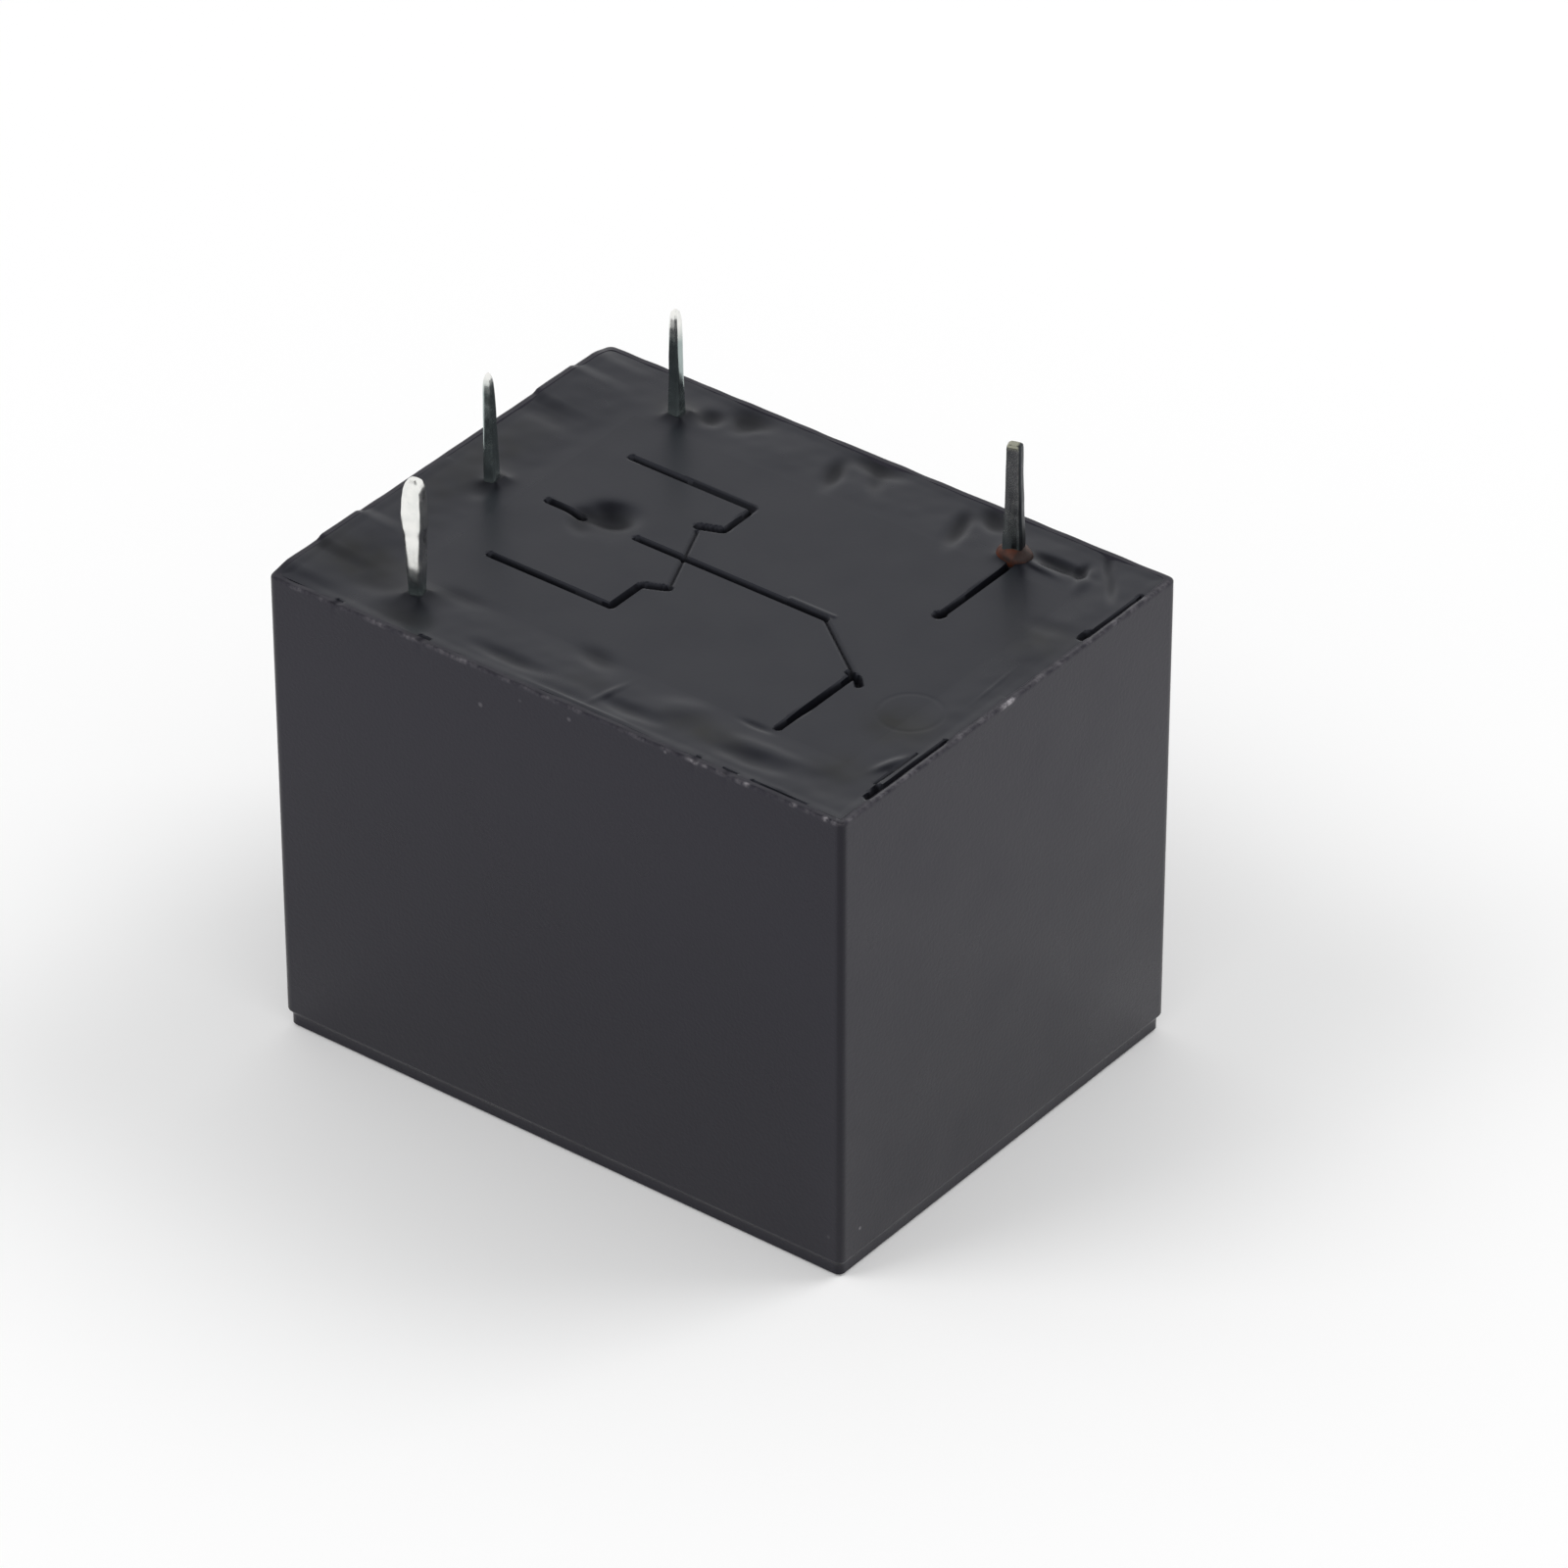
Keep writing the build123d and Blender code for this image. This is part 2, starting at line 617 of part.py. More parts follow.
with BuildPart() as core:
    with BuildSketch(Plane.XZ):
        with BuildLine():
            Polyline(
                (coil_x, pole_face),
                (coil_x + pole_radius - pole_chamfer, pole_face),
                (coil_x + pole_radius, pole_face + pole_chamfer),
                (coil_x + pole_radius, pole_back),
                (coil_x + core_radius, pole_back),
                (coil_x + core_radius, yoke_inside),
                (coil_x + tenon_radius, yoke_inside),
                (coil_x + tenon_radius, yoke_outside),
                (coil_x, yoke_outside),
                close=True,
            )
        make_face()
    revolve(axis=Axis((coil_x, 0, 0), (0, 0, 1)))
core.part.label = "core"
export_step(core.part, "parts/core.step")


yoke_end_x = coil_x + yoke_reach
with BuildPart() as yoke:
    with BuildSketch(Plane.XZ):
        with BuildLine():
            FilletPolyline(
                (yoke_back_x + yoke_thickness / 2, armature_plane_height),
                (yoke_back_x + yoke_thickness / 2, yoke_outside - yoke_thickness / 2),
                (yoke_end_x, yoke_outside - yoke_thickness / 2),
                radius=yoke_thickness / 2 + yoke_bend_radius,
            )
        trace(line_width=yoke_thickness)
    extrude(amount=yoke_width / 2, both=True)
    # Horns that keep the armature in line
    horn_y = yoke_width / 2 - horn_width / 2
    with BuildSketch(Plane.XY.offset(armature_plane_height)):
        with Locations(
            (yoke_back_x + yoke_thickness / 2, horn_y),
            (yoke_back_x + yoke_thickness / 2, -horn_y),
        ):
            Rectangle(yoke_thickness, horn_width)
    extrude(amount=-horn_length)
    with BuildSketch(Plane.XY.offset(yoke_inside)):
        with Locations((coil_x, 0)):
            Circle(tenon_radius + bond_gap)
    extrude(amount=yoke_thickness, mode=Mode.SUBTRACT)
    with BuildSketch(Plane.YZ.offset(yoke_back_x)):
        with Locations((-rivet_pitch / 2, rivet_z), (rivet_pitch / 2, rivet_z)):
            Circle(rivet_radius + bond_gap)
    extrude(amount=yoke_thickness, mode=Mode.SUBTRACT)
yoke.part.label = "yoke"
export_step(yoke.part, "parts/yoke.step")


rivet_head_x = common_x - common_thickness / 2 - bond_gap
with BuildPart() as yoke_rivets:
    with BuildSketch(Plane.YZ.offset(rivet_head_x)):
        with Locations((-rivet_pitch / 2, rivet_z), (rivet_pitch / 2, rivet_z)):
            Circle(rivet_radius)
    extrude(amount=yoke_front_x - rivet_head_x)
    with BuildSketch(Plane.YZ.offset(rivet_head_x)):
        with Locations((-rivet_pitch / 2, rivet_z), (rivet_pitch / 2, rivet_z)):
            Circle(rivet_head_radius)
    extrude(amount=-rivet_head_height, taper=rivet_head_slope_deg)
yoke_rivets.part.label = "yoke_rivets"
export_step(yoke_rivets.part, "parts/yoke_rivets.step")


neck_length = yoke_front_x - pivot_x + horn_gap
neck_width = yoke_width - 2 * horn_width - 2 * horn_gap
with BuildPart() as armature:
    with BuildSketch(armature_back):
        with Locations((armature_length / 2, 0)):
            Rectangle(armature_length, armature_width)
        with Locations(
            (neck_length / 2, (armature_width + neck_width) / 4),
            (neck_length / 2, -(armature_width + neck_width) / 4),
        ):
            Rectangle(neck_length, (armature_width - neck_width) / 2, mode=Mode.SUBTRACT)
        with Locations((armature_rivet_reach, -rivet_pitch / 2), (armature_rivet_reach, rivet_pitch / 2)):
            Circle(rivet_radius + bond_gap, mode=Mode.SUBTRACT)
    extrude(amount=armature_thickness)
    upright_edges = armature.edges().filter_by(Axis((0, 0, 0), outward))
    fillet(upright_edges.group_by(Axis.X)[-1], radius=armature_corner)
    heel = armature.edges().filter_by(Axis.Y).group_by(Axis.X)[0].sort_by(Axis.Z)[0]
    chamfer(heel, length=armature_heel)
armature.part.label = "armature"
export_step(armature.part, "parts/armature.step")


with BuildPart() as armature_rivets:
    with BuildSketch(spring_face.offset(-spring_thickness - bond_gap)):
        with Locations((armature_rivet_reach, -rivet_pitch / 2), (armature_rivet_reach, rivet_pitch / 2)):
            Circle(rivet_radius)
    extrude(amount=spring_thickness + 2 * bond_gap + armature_thickness)
    with BuildSketch(spring_face.offset(-spring_thickness - bond_gap)):
        with Locations((armature_rivet_reach, -rivet_pitch / 2), (armature_rivet_reach, rivet_pitch / 2)):
            Circle(rivet_head_radius)
    extrude(amount=-rivet_head_height, taper=rivet_head_slope_deg)
armature_rivets.part.label = "armature_rivets"
export_step(armature_rivets.part, "parts/armature_rivets.step")


spring_x = spring_back_x + spring_thickness / 2
spring_plane = spring_face.offset(-spring_thickness / 2)
corner_reach = (spring_x - spring_plane.origin.X) / math.cos(tilt)
spring_corner = spring_plane.from_local_coords((corner_reach, 0, 0))
spring_tip = spring_plane.from_local_coords((spring_end, 0, 0))
with BuildPart() as contact_spring:
    with BuildSketch(Plane.XZ):
        with BuildLine():
            FilletPolyline(
                (spring_x, foot_high_z),
                (spring_corner.X, spring_corner.Z),
                (spring_tip.X, spring_tip.Z),
                radius=spring_bend_radius,
            )
        trace(line_width=spring_thickness)
    extrude(amount=spring_width / 2, both=True)
    # The sides run in to a narrow tongue past the armature
    with BuildSketch(spring_face.offset(-2 * spring_thickness)):
        for side in (-1, 1):
            with BuildLine():
                Polyline(
                    (armature_length - shoulder_length, side * spring_width),
                    (armature_length - shoulder_length, side * spring_width / 2),
                    (armature_length, side * tongue_width / 2),
                    (2 * spring_end, side * tongue_width / 2),
                    (2 * spring_end, side * spring_width),
                    close=True,
                )
            make_face()
    extrude(amount=3 * spring_thickness, mode=Mode.SUBTRACT)
    with BuildSketch(spring_face.offset(-2 * spring_thickness)):
        with Locations((armature_rivet_reach, -rivet_pitch / 2), (armature_rivet_reach, rivet_pitch / 2)):
            Circle(rivet_radius + bond_gap)
        with Locations((contact_reach, 0)):
            Circle(contact_tail_radius + bond_gap)
    extrude(amount=3 * spring_thickness, mode=Mode.SUBTRACT)
    with BuildSketch(Plane.YZ.offset(spring_x - spring_thickness)):
        with Locations((-rivet_pitch / 2, rivet_z), (rivet_pitch / 2, rivet_z)):
            Circle(rivet_radius + bond_gap)
    extrude(amount=2 * spring_thickness, mode=Mode.SUBTRACT)
    # Window that softens the bend
    with BuildSketch(Plane.YZ.offset(spring_x - spring_thickness)):
        with Locations((0, armature_plane_height - spring_bend_radius)):
            Rectangle(spring_window_width, spring_window_height)
    extrude(amount=spring_bend_radius + spring_thickness, mode=Mode.SUBTRACT)
contact_spring.part.label = "contact_spring"
export_step(contact_spring.part, "parts/contact_spring.step")


with BuildPart() as moving_contact:
    with BuildSketch(spring_face.offset(bond_gap)):
        with Locations((contact_reach, 0)):
            Circle(contact_radius)
    extrude(amount=contact_head - bond_gap)
    chamfer(moving_contact.edges().sort_by(Axis.Z)[-1], length=contact_edge)
    with BuildSketch(spring_face.offset(bond_gap)):
        with Locations((contact_reach, 0)):
            Circle(contact_tail_radius)
    extrude(amount=-spring_thickness - bond_gap - contact_tail)
moving_contact.part.label = "moving_contact"
export_step(moving_contact.part, "parts/moving_contact.step")
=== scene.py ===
"""Dresses the circuit board relay, from its case and dipped pins to its inner parts, on a pale stage."""

import math

import bmesh
import bpy
import numpy as np
from bpy.props import FloatProperty, FloatVectorProperty, IntProperty, PointerProperty
from mathutils import Matrix, Vector


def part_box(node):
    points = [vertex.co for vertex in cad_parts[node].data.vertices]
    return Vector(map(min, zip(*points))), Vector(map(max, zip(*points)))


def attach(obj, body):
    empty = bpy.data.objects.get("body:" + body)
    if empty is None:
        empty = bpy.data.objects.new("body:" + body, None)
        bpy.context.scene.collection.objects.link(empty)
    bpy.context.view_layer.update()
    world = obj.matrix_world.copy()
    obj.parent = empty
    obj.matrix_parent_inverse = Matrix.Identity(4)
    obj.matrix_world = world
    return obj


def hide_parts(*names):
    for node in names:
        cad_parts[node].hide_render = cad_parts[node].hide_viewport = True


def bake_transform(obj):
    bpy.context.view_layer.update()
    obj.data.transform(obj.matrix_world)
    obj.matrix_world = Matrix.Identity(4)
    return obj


bl_info = {
    "name": "Circuit board relay",
    "version": (1, 0, 0),
    "blender": (4, 5, 0),
    "location": "3D View > Sidebar > Relay",
    "description": "Builds the visible pieces of a sealed relay round its fixed frame",
    "category": "Object",
}

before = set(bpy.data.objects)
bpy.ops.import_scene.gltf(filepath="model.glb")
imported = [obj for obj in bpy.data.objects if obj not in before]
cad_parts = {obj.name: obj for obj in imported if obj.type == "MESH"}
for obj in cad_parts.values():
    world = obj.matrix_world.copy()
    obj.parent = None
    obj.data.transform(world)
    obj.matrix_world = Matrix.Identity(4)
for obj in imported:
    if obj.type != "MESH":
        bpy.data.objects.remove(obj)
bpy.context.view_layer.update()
MM = 0.001
# Widths in millimetres: of the resin at the coil end, the contact end and the sides, and of the rim
MOAT = (2.3, 1.1, 1.9)
RIM_WIDTH = 0.21
# Heights in millimetres: where a terminal leaves the case, and the board's plane, on top of the standoffs
OVER_CASE = 15.8
BOARD_PLANE = 15.9
# Rows of the case's skin under the rim's flat top, as inset and rise in metres; the last three round it off
RIM_ROWS = (
    (0, 0.00006), (0, 0.00017), (0, 0.00017), (0, 0.00008),
    (0.00001, 0.000035), (0.00002, 0.000022), (0.00003, 0.000013),
)
# Rows of the soft edge over the case's step: insets as shares of the step's, and the height of each in metres
STEP_ROWS = (0.15, 0.5, 0.85, 1.0)
STEP_ROW_HEIGHT = 0.00005
# How far a detailed piece reaches into what is under it, in metres
OVERLAP = 0.0001

# Lines of the moulded diagram in millimetres on the terminal face: half width, depth and points
DIAGRAM = (
    (0.08, 0.17, ((-6.0, 3.43), (-1.52, 3.42), (-1.46, 2.06))),
    (0.12, 0.24, ((-1.52, 1.98), (-2.18, 1.72))),
    (0.04, 0.08, ((-2.06, 1.45), (-0.94, -1.18))),
    (0.11, 0.26, ((-0.9, -1.36), (-1.55, -1.66))),
    (0.09, 0.24, ((-1.62, -1.72), (-1.62, -3.08), (-6.0, -3.06))),
    (0.1, 0.21, ((-6.45, 0.17), (-5.2, 0.13))),
    (0.09, 0.22, ((-3.2, 0.15), (3.58, 0.15))),
    (0.04, 0.09, ((3.58, 0.15), (5.86, -1.55))),
    (0.09, 0.32, ((6.0, -1.72), (5.93, -5.05))),
    (0.08, 0.24, ((5.8, -1.62), (6.15, -1.7), (6.42, -1.98))),
    (0.08, 0.3, ((6.11, 5.5), (6.07, 2.3))),
    (0.15, 0.26, ((6.06, 2.3), (6.04, 2.24))),
)
# Soft hollows and low mounds: place, half sizes, turn in degrees, depth, and how much painted shade darkens
# them; a tone below zero makes them pale, with painted light and scuffs
HOLLOWS = (
    (-4.5, 0.68, 0.62, 0.5, 0, 0.32, 1.0),
    (-4.3, 0.15, 0.75, 0.6, 0, 0.03, 0.3),
    (-5.15, 0.25, 0.4, 0.3, 0, 0.08, 0.7),
    (-5.0, -0.3, 0.5, 0.3, -35, 0.05, 0.5),
    (-5.44, 6.46, 0.38, 0.36, 0, 0.1, 0.9),
    (-4.5, 7.1, 0.75, 0.4, 0, 0.1, 0.9),
    (-4.5, 6.65, 0.4, 0.4, 20, 0.06, 0.6),
    (-0.82, 6.3, 0.28, 0.75, 18, 0.1, 0.9),
    (0.1, 7.3, 0.8, 0.34, 0, 0.09, 0.8),
    (0.4, 6.7, 0.26, 0.6, 32, 0.05, 0.5),
    (3.78, 6.15, 0.28, 0.8, 16, 0.13, 1.0),
    (4.4, 7.1, 0.55, 0.38, -30, 0.12, 0.9),
    (7.2, 6.36, 0.85, 0.22, 0, 0.12, 1.0),
    (7.95, 6.5, 0.16, 0.34, 12, 0.08, 0.8),
    (8.3, 6.1, 0.2, 0.55, 12, -0.05, -0.5),
    (6.9, 5.9, 0.6, 0.14, -6, -0.05, -0.35),
    (8.35, 7.2, 0.16, 0.6, 35, 0.08, 0.45),
    (9.05, 6.4, 0.16, 0.7, 35, 0.08, 0.4),
    (9.0, 3.6, 0.7, 0.35, 5, 0.03, 0.35),
    (9.25, 2.3, 0.5, 0.5, 0, -0.02, -0.2),
    (7.1, 4.4, 0.25, 0.9, 38, 0.02, 0.25),
    (-8.3, -0.6, 0.4, 0.5, 0, 0.05, 0.4),
    (-9.3, 3.5, 0.9, 0.35, 0, 0.04, 0.2),
    (-0.2, -5.4, 0.7, 0.36, -12, 0.07, 0.5),
    (0.1, -7.05, 0.9, 0.26, 0, -0.02, -0.8),
    (1.1, -6.6, 0.12, 0.6, -12, -0.03, -0.6),
    (0.9, -7.5, 1.8, 0.06, 0, -0.02, -0.6),
    (-2.2, -6.9, 1.1, 0.26, 0, 0.07, 0.45),
    (2.1, -6.9, 1.0, 0.28, 0, 0.07, 0.35),
    (6.3, -6.75, 1.2, 0.3, 3, 0.07, 0.4),
    (6.3, -6.15, 1.2, 0.25, 3, -0.04, -0.2),
    (-5.1, -5.3, 0.8, 0.3, 0, 0.035, 0.3),
    (5.4, -5.35, 0.5, 0.12, 0, 0.04, 0.3),
    (-5.9, -7.1, 1.0, 0.5, 5, 0.05, 0.8),
    (-7.6, -6.2, 0.8, 0.5, 20, 0.04, 0.5),
    (-8.8, -5.4, 1.2, 0.8, 10, 0.02, 0.5),
    (3.2, -6.0, 0.7, 0.45, 25, -0.05, -0.2),
    (8.6, -6.4, 0.9, 0.5, -20, 0.05, 0.15),
    (9.5, -4.6, 0.16, 0.5, -18, -0.07, -0.7),
    (9.45, 0.3, 0.05, 0.9, 3, -0.015, -0.5),
)
# Yellowish patches where the resin ran thin: place, half sizes and strength
STAINS = (
    (-8.6, -5.6, 1.6, 0.8, 1.0),
    (-9.2, 0.5, 0.8, 3.0, 0.5),
    (4.4, -6.4, 1.1, 0.5, 0.8),
    (9.2, 3.0, 0.8, 0.8, 0.5),
    (8.6, -2.9, 1.0, 0.8, 0.9),
    (8.6, -5.6, 0.8, 0.7, 0.6),
    (0.3, -6.5, 0.6, 0.4, 0.3),
    (-6.5, 6.3, 0.8, 0.5, 0.5),
)
# Cracks and slots at the rim: half width, depth and points
RIM_GAPS = (
    (0.045, 0.2, ((10.06, 6.5), (10.03, 3.95))),
    (0.13, 0.24, ((9.97, 4.05), (9.97, 3.8))),
    (0.05, 0.26, ((10.06, -2.75), (10.03, -6.3))),
    (0.1, 0.28, ((9.93, -5.65), (9.98, -6.2))),
    (0.015, 0.08, ((9.78, -3.75), (9.72, -5.6))),
    (0.03, 0.09, ((6.0, -7.58), (6.4, -7.58))),
    (0.03, 0.12, ((7.0, -7.6), (7.9, -7.57), (8.85, -7.61))),
    (0.035, 0.08, ((-7.9, -7.58), (-7.78, -7.58))),
    (0.045, 0.14, ((-4.88, -7.56), (-4.6, -7.55))),
    (0.035, 0.1, ((5.06, -7.58), (5.12, -7.58))),
)
# How far round each terminal the resin climbs, in millimetres
CLIMBS = (
    ("coil_terminal_front", 0.26),
    ("coil_terminal_back", 0.22),
    ("common_terminal", 0.22),
    ("switch_terminal", 0.2),
)
# A burr along the end of the blade's line, and the middle and radius of the ring that an ejector left
BURR = ((2.2, 0.36), (3.75, 0.36))
EJECTOR_RING = (8.4, -2.2, 0.95)
# The grooves are this much deeper than the diagram's rows say
GROOVE_SHARE = 1.2
# Places along the rim in millimetres: standoffs, open slots, nicks in the front edge, and pale worn flecks
STANDOFFS = (-4.7, 5.15)
RIM_SLOTS = ((3.8, 6.5), (-6.3, -2.8))
FRONT_NICKS = (-7.84, -4.72, 5.1, 6.25)
PALE_FLECKS = (
    (6.94, -7.7, 0.1, 1.2),
    (10.25, -0.15, 0.3, 1.6),
    (10.1, -7.6, 0.12, 0.8),
    (9.7, -7.75, 0.08, 0.8),
    (-3.6, -7.79, 1.0, 0.12),
    (5.1, -7.79, 0.12, 0.5),
    (5.46, -7.79, 0.1, 0.4),
    (8.6, -7.79, 0.1, 0.5),
)
# Pale specks on the side faces: place, reach and strength
SPECKS = (
    ((10.3, -6.89, 1.36), 0.09, 0.6),
    ((10.3, -7.35, 0.5), 0.16, 0.22),
    ((10.3, -6.7, 0.3), 0.12, 0.2),
    ((9.8, -7.82, 1.37), 0.09, 0.12),
    ((-2.54, -7.82, 14.48), 0.1, 0.16),
    ((0.67, -7.82, 15.3), 0.09, 0.14),
    ((-1.1, -7.82, 15.2), 0.07, 0.06),
    ((4.1, -7.82, 15.62), 0.07, 0.2),
)
# The switch pin's coat: heights in millimetres where its tip turns dull, and the way its flank with a painted
# dark reflection faces
DULL_TIP = (19.32, 19.42)
SHADED_FLANK = (0.95, 0.31, 0.0)


def size(name, default, description):
    """A length that the user can change."""
    unit = {"subtype": "DISTANCE", "unit": "LENGTH", "precision": 5}
    return FloatProperty(name=name, default=default, description=description, **unit)


def tint(name, default, description):
    """A colour that the user can change."""
    limits = {"subtype": "COLOR", "min": 0, "max": 1}
    return FloatVectorProperty(name=name, default=default, description=description, **limits)


def angle(name, degrees, description):
    """A turn that the user can change."""
    return FloatProperty(name=name, default=math.radians(degrees), description=description, subtype="ANGLE")


def share(name, default, description):
    """A plain number between 0 and 1."""
    return FloatProperty(name=name, default=default, description=description, min=0, max=1)


class CaseSettings(bpy.types.PropertyGroup):
    length: size("Length", 0.0206, "Length of the case over its rim")
    width: size("Width", 0.01565, "Width of the case over its rim")
    height: size("Height", 0.01575, "Height of the rim over the closed face")
    draft: size("Draft", 0.000055, "How much each side leans in towards the closed face")
    corner: size("Corner radius", 0.0002, "Rounding of the upright edges")
    step_height: size("Step height", 0.0006, "Height of the low step round the closed face")
    step_inset: size("Step inset", 0.0001, "How far the step stands in")
    chamfer: size("Chamfer", 0.00008, "Chamfer round the closed face")
    wall: size("Wall", 0.0008, "Thickness of the walls and of the closed face")
    rim: size("Rim", 0.0002, "Width of the rim's flat top")
    mouth: size("Mouth depth", 0.0004, "Depth of the mouth's slope")
    seat: size("Seat depth", 0.00155, "Depth of the ledge that carries the base")
    swell: size("Swell", 0.00013, "How far the resin stands up along the coil end's rim")
    standoff: size("Standoff height", 0.00008, "Height of the standoffs over that swell")
    colour: tint("Colour", (0.0052, 0.0049, 0.0075), "Colour of the case plastic")
    gloss_tint: tint("Gloss tint", (0.84, 0.81, 1.0), "Faint violet cast of its gloss")
    # Pale wear and specks, and a painted highlight along the front rim's edge and over the contact end's rim
    # top
    pale_wear_and_highlight_colour: tint("Wear colour", (0.4, 0.38, 0.4), "Colour of pale wear, specks and painted highlights")
    # Painted shade: the upright edges are coloured darker, standing in for the darker surroundings they
    # mirror
    edge_shade_colour: tint("Edge colour", (0.0005, 0.0005, 0.0006), "Painted shade along the upright edges")
    roughness: share("Roughness", 0.3, "Roughness of the case plastic")


class FaceSettings(bpy.types.PropertyGroup):
    cell: size("Grid cell", 0.000052, "Size of the cells that carry the relief")
    plate_top: size("Plate level", 0.0157, "Height of the terminal plate")
    plate_under: size("Plate underside", 0.0151, "Height of the face's underside, under its grooves")
    groove_softness: size("Groove softness", 0.00011, "Width of the rounding at each side of a groove")
    ripple: size("Ripple", 0.000009, "Height of the resin's waves")
    meniscus: size("Meniscus", 0.00015, "How far the resin climbs up the terminals")
    colour: tint("Colour", (0.005, 0.0053, 0.008), "Colour of plate and resin")
    # Pale scuffs, and painted light on raised slopes, menisci and along the front rim
    pale_scuff_and_light_colour: tint("Pale colour", (0.055, 0.052, 0.046), "Colour of pale scuffs and of painted light on the resin")
    stain_colour: tint("Stain colour", (0.011, 0.0105, 0.003), "Colour of the yellowish patches")
    # Painted shade: darker colour in grooves, hollows and round the terminals
    groove_shade_colour: tint("Groove colour", (0.0015, 0.0015, 0.002), "Painted shade in the grooves and hollows")
    gloss_tint: tint("Gloss tint", (0.83, 0.86, 1.0), "Faint violet cast of its gloss")
    roughness: share("Roughness", 0.35, "Roughness of plate and resin")


class PinSettings(bpy.types.PropertyGroup):
    rows: IntProperty(name="Rows", default=54, min=8, max=100, description="Rows of points along a terminal")
    lump: size("Solder lumps", 0.000006, "Height of the lumps in the solder coat")
    solder_colour: tint("Solder colour", (0.87, 0.87, 0.84), "Colour of the solder coat")
    # Tarnish, and painted dark reflection: the lower pins are coloured darker where they mirror the dark
    # terminal face
    tarnish_and_reflection_colour: tint("Tarnish and reflection colour", (0.36, 0.42, 0.41), "Colour of tarnish and of painted dark reflection on the lower pins")
    tip_colour: tint("Tip colour", (0.3, 0.3, 0.24), "Colour of the switch pin's dulled tip")
    # Painted dark reflection: the switch pin's flank that faces +X is coloured dark, standing in for the dark
    # surroundings it mirrors
    flank_shade_colour: tint("Flank shade colour", (0.045, 0.05, 0.055), "Painted dark reflection on the switch pin's flank")
    flux_colour: tint("Flux colour", (0.09, 0.022, 0.008), "Colour of the dried flux")
    flux_dark: tint("Burnt flux colour", (0.022, 0.011, 0.009), "Colour of the flux where it is thick")
    flux_radius: size("Flux radius", 0.00058, "Radius of the ring of flux")
    flux_height: size("Flux height", 0.0004, "Height of the ring of flux")


class InsideSettings(bpy.types.PropertyGroup):
    iron_colour: tint("Iron colour", (0.5, 0.5, 0.49), "Colour of the plated iron")
    brass_colour: tint("Brass colour", (0.72, 0.53, 0.26), "Colour of the stamped brass")
    copper_colour: tint("Spring colour", (0.76, 0.42, 0.25), "Colour of the contact spring")
    silver_colour: tint("Silver colour", (0.82, 0.81, 0.78), "Colour of the contacts")
    bobbin_colour: tint("Bobbin colour", (0.7, 0.66, 0.56), "Colour of the bobbin")
    wire_colour: tint("Wire colour", (0.5, 0.16, 0.055), "Colour of the enamelled wire")
    # Painted shade in the creases between the winding's turns
    turn_gap_shade_colour: tint("Gap colour", (0.05, 0.015, 0.006), "Painted shade between the winding's turns")
    wire_size: size("Wire size", 0.00011, "Diameter of the wire in the winding")


class StageSettings(bpy.types.PropertyGroup):
    azimuth: angle("Azimuth", 37.763, "Camera's turn round the relay")
    elevation: angle("Elevation", 34.381, "Camera's height over the horizon")
    roll: angle("Roll", -0.0975, "Camera's turn on its own axis")
    aim: FloatVectorProperty(
        name="Aim",
        default=(0.0012193, 0.0012904, 0.0083996),
        subtype="TRANSLATION",
        description="Point in the middle of the picture",
    )
    distance: size("Distance", 0.30775, "From the camera to the aim")
    lens: FloatProperty(name="Lens", default=244.67, description="Focal length on a 36 mm sensor")
    floor_size: size("Floor size", 4.0, "Side of the floor")
    floor_colour: tint("Floor colour", (0.87, 0.87, 0.87), "Colour of the floor")
    glow: share("Floor glow", 0.09, "Light of the floor itself to the camera, which makes it white")
    lamp_size: size("Lamp size", 0.7, "Side of each area light")
    tent: share("Tent light", 0.67, "Light from all round")
    ceiling: share("Ceiling", 0.15, "How bright the space overhead shows in gloss")


GROUPS = {
    "relay_case": CaseSettings,
    "relay_face": FaceSettings,
    "relay_pins": PinSettings,
    "relay_inside": InsideSettings,
    "relay_stage": StageSettings,
}


def clear_selection():
    """Leaves edit mode and deselects everything."""
    if bpy.context.object and bpy.context.object.mode != "OBJECT":
        bpy.ops.object.mode_set(mode="OBJECT")
    bpy.ops.object.select_all(action="DESELECT")


def select(*pieces):
    """Selects only these pieces, with the first one active."""
    clear_selection()
    for piece in pieces:
        piece.select_set(True)
    bpy.context.view_layer.objects.active = pieces[0]


def open_piece(piece):
    """Makes the piece the only selected one and opens it for editing."""
    select(piece)
    bpy.ops.object.mode_set(mode="EDIT")


def pick(piece, kind, test):
    """Selects, in edit mode, the edges or faces that pass the test, and stops if there are none."""
    bpy.ops.mesh.select_mode(type=kind)
    bpy.ops.mesh.select_all(action="DESELECT")
    shape = bmesh.from_edit_mesh(piece.data)
    found = [part for part in (shape.edges if kind == "EDGE" else shape.faces) if test(part)]
    for part in found:
        part.select_set(True)
    shape.select_flush_mode()
    bmesh.update_edit_mesh(piece.data)
    if not found:
        raise RuntimeError(f"nothing to select on {piece.name}")


def middle(edge):
    """The middle of an edge."""
    return (edge.verts[0].co + edge.verts[1].co) / 2


def span(edge, axis):
    """How far an edge reaches along an axis."""
    return abs(edge.verts[0].co[axis] - edge.verts[1].co[axis])


def upright(edge):
    """Whether an edge stands more than a millimetre high."""
    return span(edge, 2) > MM


def points_of(piece):
    """The x, y and z of the piece's points in millimetres."""
    flat = np.zeros(len(piece.data.vertices) * 3)
    piece.data.vertices.foreach_get("co", flat)
    return flat.reshape(-1, 3).T / MM


def put_points(piece, x, y, z):
    """Writes the piece's points, given in millimetres."""
    piece.data.vertices.foreach_set("co", (np.stack([x, y, z], 1) * MM).ravel())
    piece.data.update()


